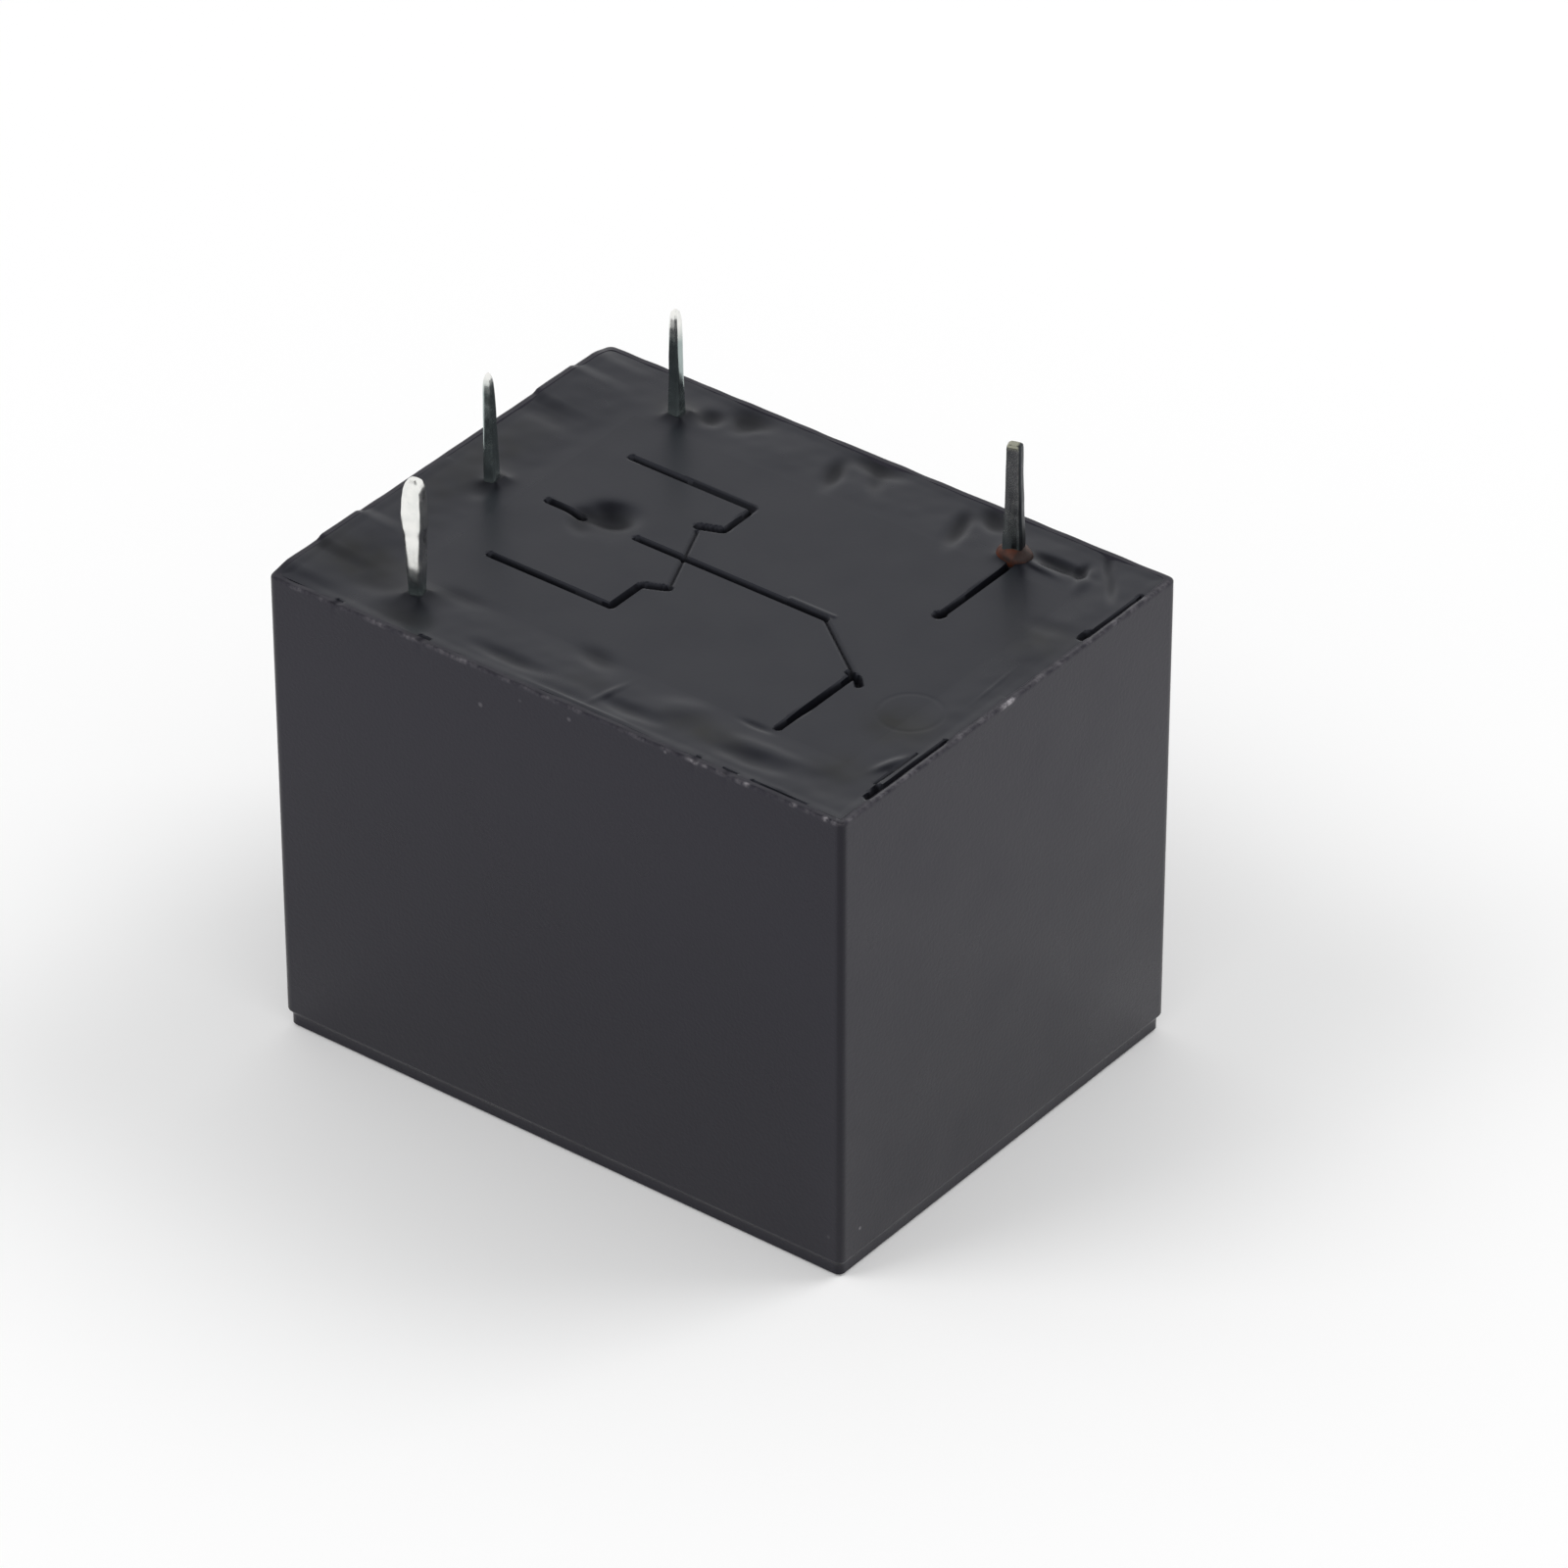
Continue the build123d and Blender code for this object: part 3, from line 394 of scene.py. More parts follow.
def put_mark(piece, name, values):
    """Stores one number for each point, for the material to read."""
    mark = piece.data.attributes.get(name) or piece.data.attributes.new(name, "FLOAT", "POINT")
    mark.data.foreach_set("value", np.asarray(values, np.float32))


def new_piece(name):
    """Names the primitive that was just added and sets it at the origin."""
    piece = bpy.context.object
    piece.name = piece.data.name = name
    bpy.ops.object.transform_apply(location=True, rotation=True, scale=True)
    return piece


def new_block(name, place, sides, corner, segments):
    """An upright block with rounded corners, as a new piece open for editing."""
    clear_selection()
    bpy.ops.mesh.primitive_cube_add(size=1, location=place, scale=sides)
    piece = new_piece(name)
    open_piece(piece)
    pick(piece, "EDGE", upright)
    bpy.ops.mesh.bevel(offset=corner, offset_type="OFFSET", segments=segments, affect="EDGES")
    return piece


def copy_of_node(node, name):
    """A merged copy of a CAD node's mesh, as a new piece open for editing."""
    clear_selection()
    piece = bpy.data.objects.new(name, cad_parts[node].data.copy())
    bpy.context.scene.collection.objects.link(piece)
    open_piece(piece)
    bpy.ops.mesh.customdata_custom_splitnormals_clear()
    bpy.ops.mesh.select_all(action="SELECT")
    bpy.ops.mesh.remove_doubles(threshold=0.0000005)
    return piece


def cut(place, facing, **closing):
    """Cuts all of the open piece at a plane."""
    bpy.ops.mesh.select_all(action="SELECT")
    bpy.ops.mesh.bisect(plane_co=place, plane_no=facing, **closing)


def add_rest_of_node(piece, node, level):
    """Joins to the piece what the CAD node has under that level."""
    rest = copy_of_node(node, node + "_rest")
    cut((0, 0, level), (0, 0, 1), use_fill=True, clear_outer=True)
    select(piece, rest)
    bpy.ops.object.join()


def finish_piece(piece, material, body, nodes, sharp_angle=35):
    """Gives the piece its material, smooth shading between sharp edges, its body and its nodes."""
    select(piece)
    bpy.ops.object.shade_smooth_by_angle(angle=math.radians(sharp_angle))
    piece.data.materials.clear()
    piece.data.materials.append(material)
    if body:
        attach(piece, body)
    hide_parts(*nodes)
    piece.select_set(False)


def ease(value, start, end):
    """0 before start and 1 after end, with a smooth passage."""
    t = np.clip((value - start) / (end - start), 0, 1)
    return t * t * (3 - 2 * t)


def waves(x, y, across, seed):
    """Soft hills between about -1 and 1, each that many millimetres across."""
    chance = np.random.default_rng(seed)
    total = np.zeros_like(x)
    for _ in range(8):
        heading = chance.uniform(0, 2 * math.pi)
        pace = 2 * math.pi / (across * chance.uniform(0.8, 1.8))
        way = x * math.cos(heading) + y * math.sin(heading)
        total += np.sin(way * pace + chance.uniform(0, 2 * math.pi))
    return total / 3


def line_distance(x, y, points):
    """Distance of each place from a line through the points."""
    nearest = np.full_like(x, 1e9)
    for (ax, ay), (bx, by) in zip(points, points[1:]):
        dx, dy = bx - ax, by - ay
        t = np.clip(((x - ax) * dx + (y - ay) * dy) / (dx * dx + dy * dy), 0, 1)
        nearest = np.minimum(nearest, np.hypot(x - ax - t * dx, y - ay - t * dy))
    return nearest


def turned(x, y, degrees):
    """Places turned round the origin."""
    c, s = math.cos(math.radians(degrees)), math.sin(math.radians(degrees))
    return x * c - y * s, x * s + y * c


def soft_spot(x, y, place_x, place_y, half_x, half_y, turn=0):
    """1 in the middle of a soft-edged oval, falling to 0 outside it."""
    u, v = turned(x - place_x, y - place_y, -turn)
    return np.exp(-(((u / half_x) ** 2 + (v / half_y) ** 2) ** 1.2))


def field_limits():
    """The raised field's and the mouth's limits in millimetres, from the frame."""
    low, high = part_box("base")
    coil_end, contact_end, side = MOAT
    field = (low.x / MM + coil_end, high.x / MM - contact_end, high.y / MM - side)
    case = bpy.context.scene.relay_case
    return field, (case.length / MM / 2 - RIM_WIDTH, case.width / MM / 2 - RIM_WIDTH)


def terminal_relief(x, y):
    """Height in millimetres, darkness and yellowness of the terminal face at each place; the darkness is
    painted shade in grooves, hollows and round the terminals, and painted light where it falls below zero.
    """
    face = bpy.context.scene.relay_face
    (low_x, high_x, field_y), (mouth_x, mouth_y) = field_limits()
    outside = np.hypot(np.maximum(np.maximum(low_x - x, x - high_x), 0), np.maximum(np.abs(y) - field_y, 0))
    rim = np.minimum(mouth_x - np.abs(x), mouth_y - np.abs(y))
    ripple = face.ripple / MM
    soft = face.groove_softness / MM / 2
    height = np.full_like(x, face.plate_top / MM)
    dark = np.zeros_like(x)
    band = ease(outside, 0.0, 0.9)
    height += band * (0.012 + ripple * waves(x, y, 2.6, 3) + 0.3 * ripple * waves(x, y, 0.8, 5))
    height += np.where(y < 0, 0.022, 0.012) * ease(rim, 0.35, 0.0)
    dark += band * 0.12 * waves(x, y, 2.2, 9)
    # Each hollow gets painted shade by its tone; a negative tone gives painted light and pale scuffs
    for *oval, depth, tone in HOLLOWS:
        spot = soft_spot(x, y, *oval)
        height -= depth * spot
        dark += tone * spot
    grooves, gaps = (DIAGRAM, GROOVE_SHARE, soft, soft), (RIM_GAPS, 1, 0.05, 0.03)
    for lines, share_deep, outward, inward in (grooves, gaps):
        for half_width, depth, points in lines:
            groove = ease(line_distance(x, y, points), half_width + outward, half_width - inward)
            height -= share_deep * depth * groove
            # Painted shade in the grooves and in the rim's gaps
            dark = np.maximum(dark, groove)
    # Resin runs up to the coil end's rim and its standoffs
    height += coil_end_rise(y, 1.3) * ease(x + mouth_x, 2.4, 0.0)
    height += 0.03 * ease(line_distance(x, y, BURR), 0.1, 0.0)
    ring_x, ring_y, radius = EJECTOR_RING
    height -= 0.006 * ease(np.abs(np.hypot(x - ring_x, y - ring_y) - radius), 0.12, 0.0)
    # Resin climbs up each terminal, and painted shade darkens the face round its root
    for node, reach in CLIMBS:
        px, py, half_x, half_y = pin_place(node)
        gap = np.hypot(np.maximum(np.abs(x - px) - half_x, 0), np.maximum(np.abs(y - py) - half_y, 0))
        height += face.meniscus / MM * np.exp(-gap / reach)
        dark += 0.5 * np.exp(-gap / 0.4)
    stain = np.zeros_like(x)
    cloud = 0.75 + 0.25 * waves(x, y, 0.7, 21)
    for *oval, strength in STAINS:
        stain += strength * soft_spot(x, y, *oval) * cloud
    return height, np.clip(dark, -1, 1), np.clip(stain, 0, 1)


def coil_end_rise(y, reach):
    """How far the coil end's rim stands up along it, with standoffs that fall off within that reach."""
    case = bpy.context.scene.relay_case
    rise = case.swell / MM * ease(np.abs(y), case.width / MM / 2 - 0.05, case.width / MM / 2 - 0.9)
    for place in STANDOFFS:
        rise = rise + case.standoff / MM * ease(np.abs(y - place), reach, 0.75)
    return rise


def pin_place(node):
    """Middle and half sizes in millimetres of a terminal's part over the case."""
    points = points_of(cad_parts[node])
    over = points[:, points[2] > OVER_CASE]
    low, high = over.min(1), over.max(1)
    return (low[0] + high[0]) / 2, (low[1] + high[1]) / 2, (high[0] - low[0]) / 2, (high[1] - low[1]) / 2


def relief_grid(name, x_stops, y_stops):
    """A grid with lines on those stops and between them, shaped by the terminal face's relief."""
    x_lines, y_lines = even_lines(x_stops), even_lines(y_stops)
    clear_selection()
    bpy.ops.mesh.primitive_grid_add(x_subdivisions=len(x_lines) - 1, y_subdivisions=len(y_lines) - 1, size=2)
    piece = new_piece(name)
    # The new grid reaches from -1 to 1, which gives each point's place along the lines
    shares = (points_of(piece) * MM + 1) / 2
    x, y = (
        np.array(lines)[np.rint(share_along * (len(lines) - 1)).astype(int)]
        for lines, share_along in zip((x_lines, y_lines), shares)
    )
    height, dark, stain = terminal_relief(x, y)
    put_points(piece, x, y, height)
    put_mark(piece, "dark", dark)
    put_mark(piece, "stain", stain)
    return piece


def even_lines(stops):
    """Places about a cell apart, from the first stop to the last and on each one between."""
    step = bpy.context.scene.relay_face.cell / MM
    lines = [stops[0]]
    for start, end in zip(stops, stops[1:]):
        lines.extend(np.linspace(start, end, max(2, round((end - start) / step) + 1))[1:])
    return lines


def close_under(piece, level, fill):
    """Draws the piece's open edges down to that level and closes it there."""
    open_piece(piece)
    pick(piece, "EDGE", lambda edge: edge.is_boundary)
    bpy.ops.mesh.extrude_region_move(TRANSFORM_OT_translate={"value": (0, 0, -0.0001)})
    shape = bmesh.from_edit_mesh(piece.data)
    for point in shape.verts:
        if point.select:
            point.co.z = level
    bmesh.update_edit_mesh(piece.data)
    fill()
    bpy.ops.object.mode_set(mode="OBJECT")


class Nodes:
    """A tree of shader nodes under construction."""

    def __init__(self, owner):
        owner.use_nodes = True
        self.tree = owner.node_tree

    def lead(self, value, socket):
        """Leads another socket, a number or a colour into a socket."""
        if isinstance(value, bpy.types.NodeSocket):
            self.tree.links.new(value, socket)
        else:
            socket.default_value = (*value, 1) if socket.type == "RGBA" else value

    def add(self, kind, **settings):
        """Adds a node and sets its settings and sockets."""
        node = self.tree.nodes.new(kind)
        for key, value in settings.items():
            if hasattr(node, key):
                setattr(node, key, value)
            else:
                self.lead(value, node.inputs[key.replace("_", " ")])
        return node

    def part(self, vector, axis):
        """One of a vector's three numbers."""
        return self.add("ShaderNodeSeparateXYZ", Vector=vector).outputs[axis]

    def between(self, value, low, high, new_low=0.0, new_high=1.0):
        """Maps a value from one range to another, held at its ends."""
        ends = {"From_Min": low, "From_Max": high, "To_Min": new_low, "To_Max": new_high}
        return self.add("ShaderNodeMapRange", Value=value, **ends).outputs[0]

    def mix(self, factor, first, second):
        """Mixes two colours, each given as a colour or as a socket."""
        node = self.add("ShaderNodeMix", data_type="RGBA", Factor=factor)
        self.lead(first, node.inputs[6])
        self.lead(second, node.inputs[7])
        return node.outputs[2]

    def mottled(self, factor, colour, low, high):
        """A colour that varies between two shares of itself."""
        return self.mix(factor, [c * low for c in colour], [c * high for c in colour])

    def number(self, kind, first, second=0.0):
        """A number from one or two others."""
        node = self.add("ShaderNodeMath", operation=kind, use_clamp=True)
        self.lead(first, node.inputs[0])
        self.lead(second, node.inputs[1])
        return node.outputs[0]

    def vector_number(self, kind, first, second):
        """A number from two vectors, such as their distance."""
        node = self.add("ShaderNodeVectorMath", operation=kind)
        self.lead(first, node.inputs[0])
        self.lead(second, node.inputs[1])
        return node.outputs["Value"]

    def seen_directly(self):
        """1 for rays that show the background itself: from the camera, or by way of gloss or glass."""
        rays = self.add("ShaderNodeLightPath").outputs
        seen = self.number("MAXIMUM", rays["Is Camera Ray"], rays["Is Glossy Ray"])
        return self.number("MAXIMUM", seen, rays["Is Transmission Ray"])


class Paint(Nodes):
    """A material under construction: its nodes and the shader they lead to."""

    def __init__(self, name, **sockets):
        self.material = bpy.data.materials.new(name)
        super().__init__(self.material)
        self.shader = self.tree.nodes["Principled BSDF"].inputs
        for socket, value in sockets.items():
            self.lead(value, self.shader[socket.replace("_", " ")])
        coordinates = self.add("ShaderNodeTexCoord").outputs
        self.place, self.normal = coordinates["Object"], coordinates["Normal"]

    def noise(self, across_mm, detail, stretch=None):
        """Noise whose features are that many millimetres across, drawn out where stretch says so."""
        place = self.place
        if stretch:
            place = self.add("ShaderNodeMapping", Vector=place, Scale=stretch).outputs[0]
        scale = 1 / across_mm / MM
        return self.add("ShaderNodeTexNoise", Vector=place, Scale=scale, Detail=detail).outputs[0]

    def mark(self, name):
        """A number stored on the piece's points."""
        return self.add("ShaderNodeAttribute", attribute_name=name).outputs["Fac"]

    def wear_in(self, colour, roughness, bump, depth_mm, strength):
        """Leads colour, roughness and bump into the shader."""
        bumped = self.add("ShaderNodeBump", Height=bump, Strength=strength, Distance=depth_mm * MM)
        for name, value in (("Base Color", colour), ("Roughness", roughness), ("Normal", bumped.outputs[0])):
            self.lead(value, self.shader[name])
        return self.material


def case_plastic():
    """Black moulded plastic with a fine matt grain, faint mottling, pale worn edges with a painted highlight,
    and painted shade on its upright edges.
    """
    case = bpy.context.scene.relay_case
    paint = Paint("matt_black_case", Specular_IOR_Level=0.36, Specular_Tint=case.gloss_tint)
    mottle = paint.noise(3.5, 3)
    grain = paint.noise(0.11, 2)
    colour = paint.mottled(mottle, case.colour, 0.75, 1.3)
    across, along = (paint.number("ABSOLUTE", paint.part(paint.normal, axis)) for axis in (0, 1))
    # Painted shade on the rounded upright edges, where the normal leans between two side faces
    upright_edge_shade = paint.between(paint.number("MULTIPLY", across, along), 0.05, 0.3)
    colour = paint.mix(upright_edge_shade, colour, case.edge_shade_colour)
    for place, reach, strength in SPECKS:
        gap = paint.vector_number("DISTANCE", paint.place, [side * MM for side in place])
        speck = paint.between(gap, reach * MM, 0.3 * reach * MM, 0.0, strength)
        colour = paint.mix(speck, colour, case.pale_wear_and_highlight_colour)
    # Pale wear and painted highlights along the rim, broken up by noise
    worn = paint.number("MULTIPLY", paint.mark("wear_and_highlight"), paint.between(paint.noise(0.16, 3), 0.3, 0.7))
    colour = paint.mix(worn, colour, case.pale_wear_and_highlight_colour)
    roughness = paint.between(mottle, 0.3, 0.7, case.roughness - 0.05, case.roughness + 0.06)
    return paint.wear_in(colour, roughness, grain, 0.007, 0.6)


def face_plastic(name, ripple_mm, gloss):
    """Black plastic or resin whose painted shade in grooves and hollows, pale scuffs with painted light, and
    stains follow the piece's own marks.
    """
    face = bpy.context.scene.relay_face
    paint = Paint(name, Specular_IOR_Level=0.36, Specular_Tint=face.gloss_tint)
    dark, stain = paint.mark("dark"), paint.mark("stain")
    mottle = paint.noise(1.6, 3)
    colour = paint.mottled(mottle, face.colour, 0.8, 1.25)
    # Pale scuffs and painted light where the dark mark falls below zero
    colour = paint.mix(paint.between(dark, -0.05, -0.9), colour, face.pale_scuff_and_light_colour)
    colour = paint.mix(paint.number("MULTIPLY", stain, 0.7), colour, face.stain_colour)
    # Painted shade in the grooves, hollows and round the terminals
    colour = paint.mix(paint.between(dark, 0.1, 0.8), colour, face.groove_shade_colour)
    smooth = face.roughness - gloss
    roughness = paint.between(mottle, 0.3, 0.7, smooth - 0.04, smooth + 0.05)
    dulled = paint.between(dark, 0.1, 0.9, 0.0, 0.25)
    dulled = paint.number("MAXIMUM", dulled, paint.between(stain, 0.0, 1.0, 0.0, 0.2))
    roughness = paint.number("ADD", roughness, dulled)
    return paint.wear_in(colour, roughness, paint.noise(ripple_mm, 2), 0.004, 0.3)


def solder(name, tarnish_and_reflection_low, tarnish_and_reflection_high, flank=None):
    """Dull dipped solder, lumpy, with tarnish and a painted dark reflection between two heights, and a
    painted dark reflection on a flank.
    """
    pins = bpy.context.scene.relay_pins
    paint = Paint(name, Metallic=1.0)
    height = paint.part(paint.place, 2)
    low = paint.between(height, (BOARD_PLANE + tarnish_and_reflection_high) * MM, (OVER_CASE + tarnish_and_reflection_low) * MM)
    patches = paint.between(paint.noise(0.35, 3), 0.42, 0.62)
    # Tarnish and painted dark reflection below the given heights, with random tarnish patches
    tarnish_and_reflection = paint.number("ADD", low, paint.number("MULTIPLY", patches, 0.12))
    colour = paint.mix(tarnish_and_reflection, pins.solder_colour, pins.tarnish_and_reflection_colour)
    roughness = paint.between(paint.noise(0.4, 2), 0.3, 0.7, 0.15, 0.28)
    if flank:
        over_rim = paint.between(height, (OVER_CASE - 0.2) * MM, OVER_CASE * MM)
        # Painted dark reflection on the flank that faces that way, over the rim
        facing = paint.between(paint.vector_number("DOT_PRODUCT", paint.normal, flank), 0.05, 0.33)
        flank_shade = paint.number("MULTIPLY", facing, over_rim)
        tip = paint.between(height, *(level * MM for level in DULL_TIP))
        colour = paint.mix(tip, colour, pins.tip_colour)
        colour = paint.mix(flank_shade, colour, pins.flank_shade_colour)
        roughness = paint.number("ADD", roughness, paint.number("MULTIPLY", flank_shade, 0.2))
    return paint.wear_in(colour, roughness, paint.noise(0.3, 1), 0.004, 0.2)


def dried_flux():
    """Dried flux, orange where it is thin and nearly black where it is thick."""
    pins = bpy.context.scene.relay_pins
    paint = Paint("dried_flux", Specular_IOR_Level=0.3)
    x = pin_place("switch_terminal")[0]
    side = paint.between(paint.part(paint.place, 0), (x - 0.25) * MM, (x + 0.35) * MM)
    burnt = paint.number("ADD", side, paint.between(paint.noise(0.3, 3), 0.4, 0.65, -0.25, 0.6))
    colour = paint.mix(burnt, pins.flux_colour, pins.flux_dark)
    roughness = paint.between(paint.noise(0.15, 2), 0.3, 0.7, 0.38, 0.6)
    return paint.wear_in(colour, roughness, paint.noise(0.2, 2), 0.01, 0.4)


def rolled_metal(name, colour, roughness, stretch):
    """Rolled or stamped metal with grain along one way and faint tarnish."""
    paint = Paint(name, Metallic=1.0)
    patches = paint.noise(1.2, 3)
    mixed = paint.mottled(paint.between(patches, 0.3, 0.75), colour, 1, 0.72)
    grain = paint.noise(0.2, 2, stretch)
    dulled = paint.between(grain, 0.3, 0.7, roughness - 0.06, roughness + 0.08)
    return paint.wear_in(mixed, dulled, grain, 0.004, 0.4)


def bobbin_plastic():
    """Natural moulded plastic, a little translucent looking, with a satin skin."""
    inside = bpy.context.scene.relay_inside
    paint = Paint("natural_bobbin", Subsurface_Weight=0.1, Subsurface_Scale=0.0006)
    mottle = paint.noise(1.5, 3)
    colour = paint.mottled(mottle, inside.bobbin_colour, 1, 0.86)
    return paint.wear_in(colour, paint.between(mottle, 0.3, 0.7, 0.36, 0.5), paint.noise(0.15, 2), 0.005, 0.3)


def enamelled_wire(name, bands):
    """Enamelled copper wire; on the winding its turns show as fine bands along the coil's axis, with painted
    shade between them.
    """
    inside = bpy.context.scene.relay_inside
    paint = Paint(name, Metallic=0.6, Coat_Weight=0.6, Coat_Roughness=0.12)
    patches = paint.noise(0.9, 3)
    colour = paint.mottled(patches, inside.wire_colour, 1, 0.6)
    bump = paint.noise(0.2, 2)
    if bands:
        pace = 2 * math.pi / 20 / inside.wire_size
        turns = {"bands_direction": "Z", "Scale": pace, "Distortion": 0.4}
        bump = paint.add("ShaderNodeTexWave", Vector=paint.place, **turns).outputs[1]
        # Painted shade between the turns
        colour = paint.mix(paint.between(bump, 0.0, 0.5, 0.6, 0.0), colour, inside.turn_gap_shade_colour)
    return paint.wear_in(colour, paint.between(patches, 0.3, 0.7, 0.25, 0.4), bump, 0.03, 0.7)


def smaller(sides, inset):
    """The sides of a face set in by that much all round."""
    return tuple(side - 2 * inset for side in sides)


def step_face(old_size, new_size, rise):
    """Extrudes the selected face by that rise and changes it to the new size."""
    bpy.ops.mesh.extrude_region_move(TRANSFORM_OT_translate={"value": (0, 0, rise)})
    bpy.ops.transform.resize(value=(new_size[0] / old_size[0], new_size[1] / old_size[1], 1))
    return new_size


class RELAY_OT_case(bpy.types.Operator):
    """Moulded case with its step, draft, thin rim and standoffs"""

    bl_idname = "relay.case"
    bl_label = "Case"

    def execute(self, context):
        case = context.scene.relay_case
        full = (case.length, case.width)
        rim_start = case.height - sum(rise for _, rise in RIM_ROWS)
        place = (0, 0, (case.step_height + rim_start) / 2)
        piece = new_block("case_cover", place, (*full, rim_start - case.step_height), case.corner, 4)
        # Closed end: draft, ledge, step and a small chamfer
        pick(piece, "FACE", lambda part: part.normal.z < -0.9)
        drafted = smaller(full, case.draft)
        bpy.ops.transform.resize(value=(drafted[0] / full[0], drafted[1] / full[1], 1))
        now = drafted
        for inset in STEP_ROWS:
            now = step_face(now, smaller(drafted, inset * case.step_inset), -STEP_ROW_HEIGHT)
        now = step_face(now, now, len(STEP_ROWS) * STEP_ROW_HEIGHT + case.chamfer - case.step_height)
        now = step_face(now, smaller(now, case.chamfer / 2), -0.6 * case.chamfer)
        step_face(now, smaller(now, case.chamfer), -0.4 * case.chamfer)
        # Open end: rows under the rim, its rounded edge and flat top, the mouth, the ledge and the cavity
        pick(piece, "FACE", lambda part: part.normal.z > 0.9)
        now = full
        for inset, rise in RIM_ROWS:
            now = step_face(now, smaller(now, inset), rise)
        for rims, rise in ((0.5, 0), (1, 0), (3, -case.mouth)):
            now = step_face(now, smaller(full, rims * case.rim), rise)
        now = step_face(now, now, case.mouth - case.seat)
        now = step_face(now, smaller(full, case.wall), 0)
        step_face(now, now, case.wall - (case.height - case.seat))
        # Columns all round, so that the rim can be shaped; the two flat ends stay plain
        pick(piece, "FACE", lambda part: abs(part.normal.z) > 0.9 and len(part.verts) > 4)
        bpy.ops.mesh.delete(type="ONLY_FACE")
        for axis, cuts in ((0, (15, 15)), (1, (15, 11))):
            for count, longest in zip(cuts, (0.01, 0.0007)):
                pick(piece, "EDGE", lambda part: span(part, axis) > longest)
                bpy.ops.mesh.subdivide(number_cuts=count)
        for level in (0.0, case.wall):
            pick(piece, "EDGE", lambda part: part.is_boundary and abs(middle(part).z - level) < 0.0001)
            bpy.ops.mesh.edge_face_add()
        bpy.ops.object.mode_set(mode="OBJECT")
        self.wear_rim(piece, case)
        finish_piece(piece, case_plastic(), "housing", ["cover"])
        return {"FINISHED"}

    def wear_rim(self, piece, case):
        """Raises the standoffs, opens the rim at its slots, nicks its edge, and marks wear and a painted
        highlight along it.
        """
        x, y, z = points_of(piece)
        top, half_x, half_y = case.height / MM, case.length / MM / 2, case.width / MM / 2
        crest = ease(z, top - 0.12, top - 0.01)
        coil_end = ease(x, 0.65 - half_x, 0.5 - half_x) * crest
        z = z + coil_end * coil_end_rise(y, 1.0)
        inward = np.maximum(np.abs(x) - half_x, np.abs(y) - half_y)
        near_rim = ease(z, top - 0.42, top - 0.1) * (inward > -0.45)
        z = z - crest * near_rim * 0.008 * (1 + waves(x, y, 1.1, 31))
        front = (y < 0.15 - half_y) * near_rim
        for place in FRONT_NICKS:
            bite = front * ease(np.abs(x - place), 0.16, 0.03)
            y = y + 0.012 * bite
            z = z - 0.03 * bite * crest
        wall = ease(x, half_x - 0.08, half_x - 0.2) * (x > half_x - 0.25) * crest
        for low, high in RIM_SLOTS:
            open_slot = wall * ease(y, low - 0.1, low + 0.1) * ease(y, high + 0.1, high - 0.1)
            x = x + 0.03 * open_slot
            z = z - 0.015 * open_slot
        put_points(piece, x, y, z)
        inward = np.maximum(np.abs(x) - half_x, np.abs(y) - half_y)
        # A pale line along the front rim's edge and a band over the contact end's rim top: a painted
        # highlight with some wear; the flecks are wear
        on_edge = ease(inward, -0.1, -0.02) * ease(z, top - 0.16, top - 0.03)
        patchy = ease(waves(x, 0 * x, 0.8, 8), -0.4, 1.2) * 0.2 + 0.06
        worn = on_edge * patchy * (y < 0.2 - half_y)
        right_edge = ease(x, half_x - 0.24, half_x - 0.06) * ease(z, top - 0.1, top - 0.03)
        worn = worn + right_edge * (0.1 + 0.12 * ease(waves(x, y, 0.7, 12), -0.2, 1.0))
        for place_x, place_y, reach, strength in PALE_FLECKS:
            worn = worn + strength * on_edge * np.exp(-((np.hypot(x - place_x, y - place_y) / reach) ** 4))
        put_mark(piece, "wear_and_highlight", np.clip(worn, 0, 1))


class RELAY_OT_terminal_plate(bpy.types.Operator):
    """Terminal plate with the moulded diagram, on the base's guards"""

    bl_idname = "relay.terminal_plate"
    bl_label = "Terminal plate"

    def execute(self, context):
        face = context.scene.relay_face
        (low_x, high_x, field_y), _ = field_limits()
        piece = relief_grid("terminal_plate", (low_x, high_x), (-field_y, field_y))
        close_under(piece, face.plate_under, bpy.ops.mesh.edge_face_add)
        add_rest_of_node(piece, "base", face.plate_under + OVERLAP)
        plastic = face_plastic("moulded_terminal_plate", 0.12, 0.0)
        finish_piece(piece, plastic, "housing", ["base"])
        return {"FINISHED"}


class RELAY_OT_resin(bpy.types.Operator):
    """Band of sealing resin round the plate, with its waves, slots and menisci"""

    bl_idname = "relay.resin"
    bl_label = "Sealing resin"

    def execute(self, context):
        level = context.scene.relay_face.plate_under + OVERLAP
        (low_x, high_x, field_y), (mouth_x, mouth_y) = field_limits()
        x_stops, y_stops = (-mouth_x, low_x, high_x, mouth_x), (-mouth_y, -field_y, field_y, mouth_y)
        piece = relief_grid("resin_band", x_stops, y_stops)
        open_piece(piece)

        def in_field(part):
            place = part.calc_center_median() / MM
            return low_x < place.x < high_x and abs(place.y) < field_y

        pick(piece, "FACE", in_field)
        bpy.ops.mesh.delete(type="FACE")
        close_under(piece, level, bpy.ops.mesh.fill)
        finish_piece(piece, face_plastic("cast_resin", 0.3, 0.05), "housing", ["sealing_resin"])
        return {"FINISHED"}


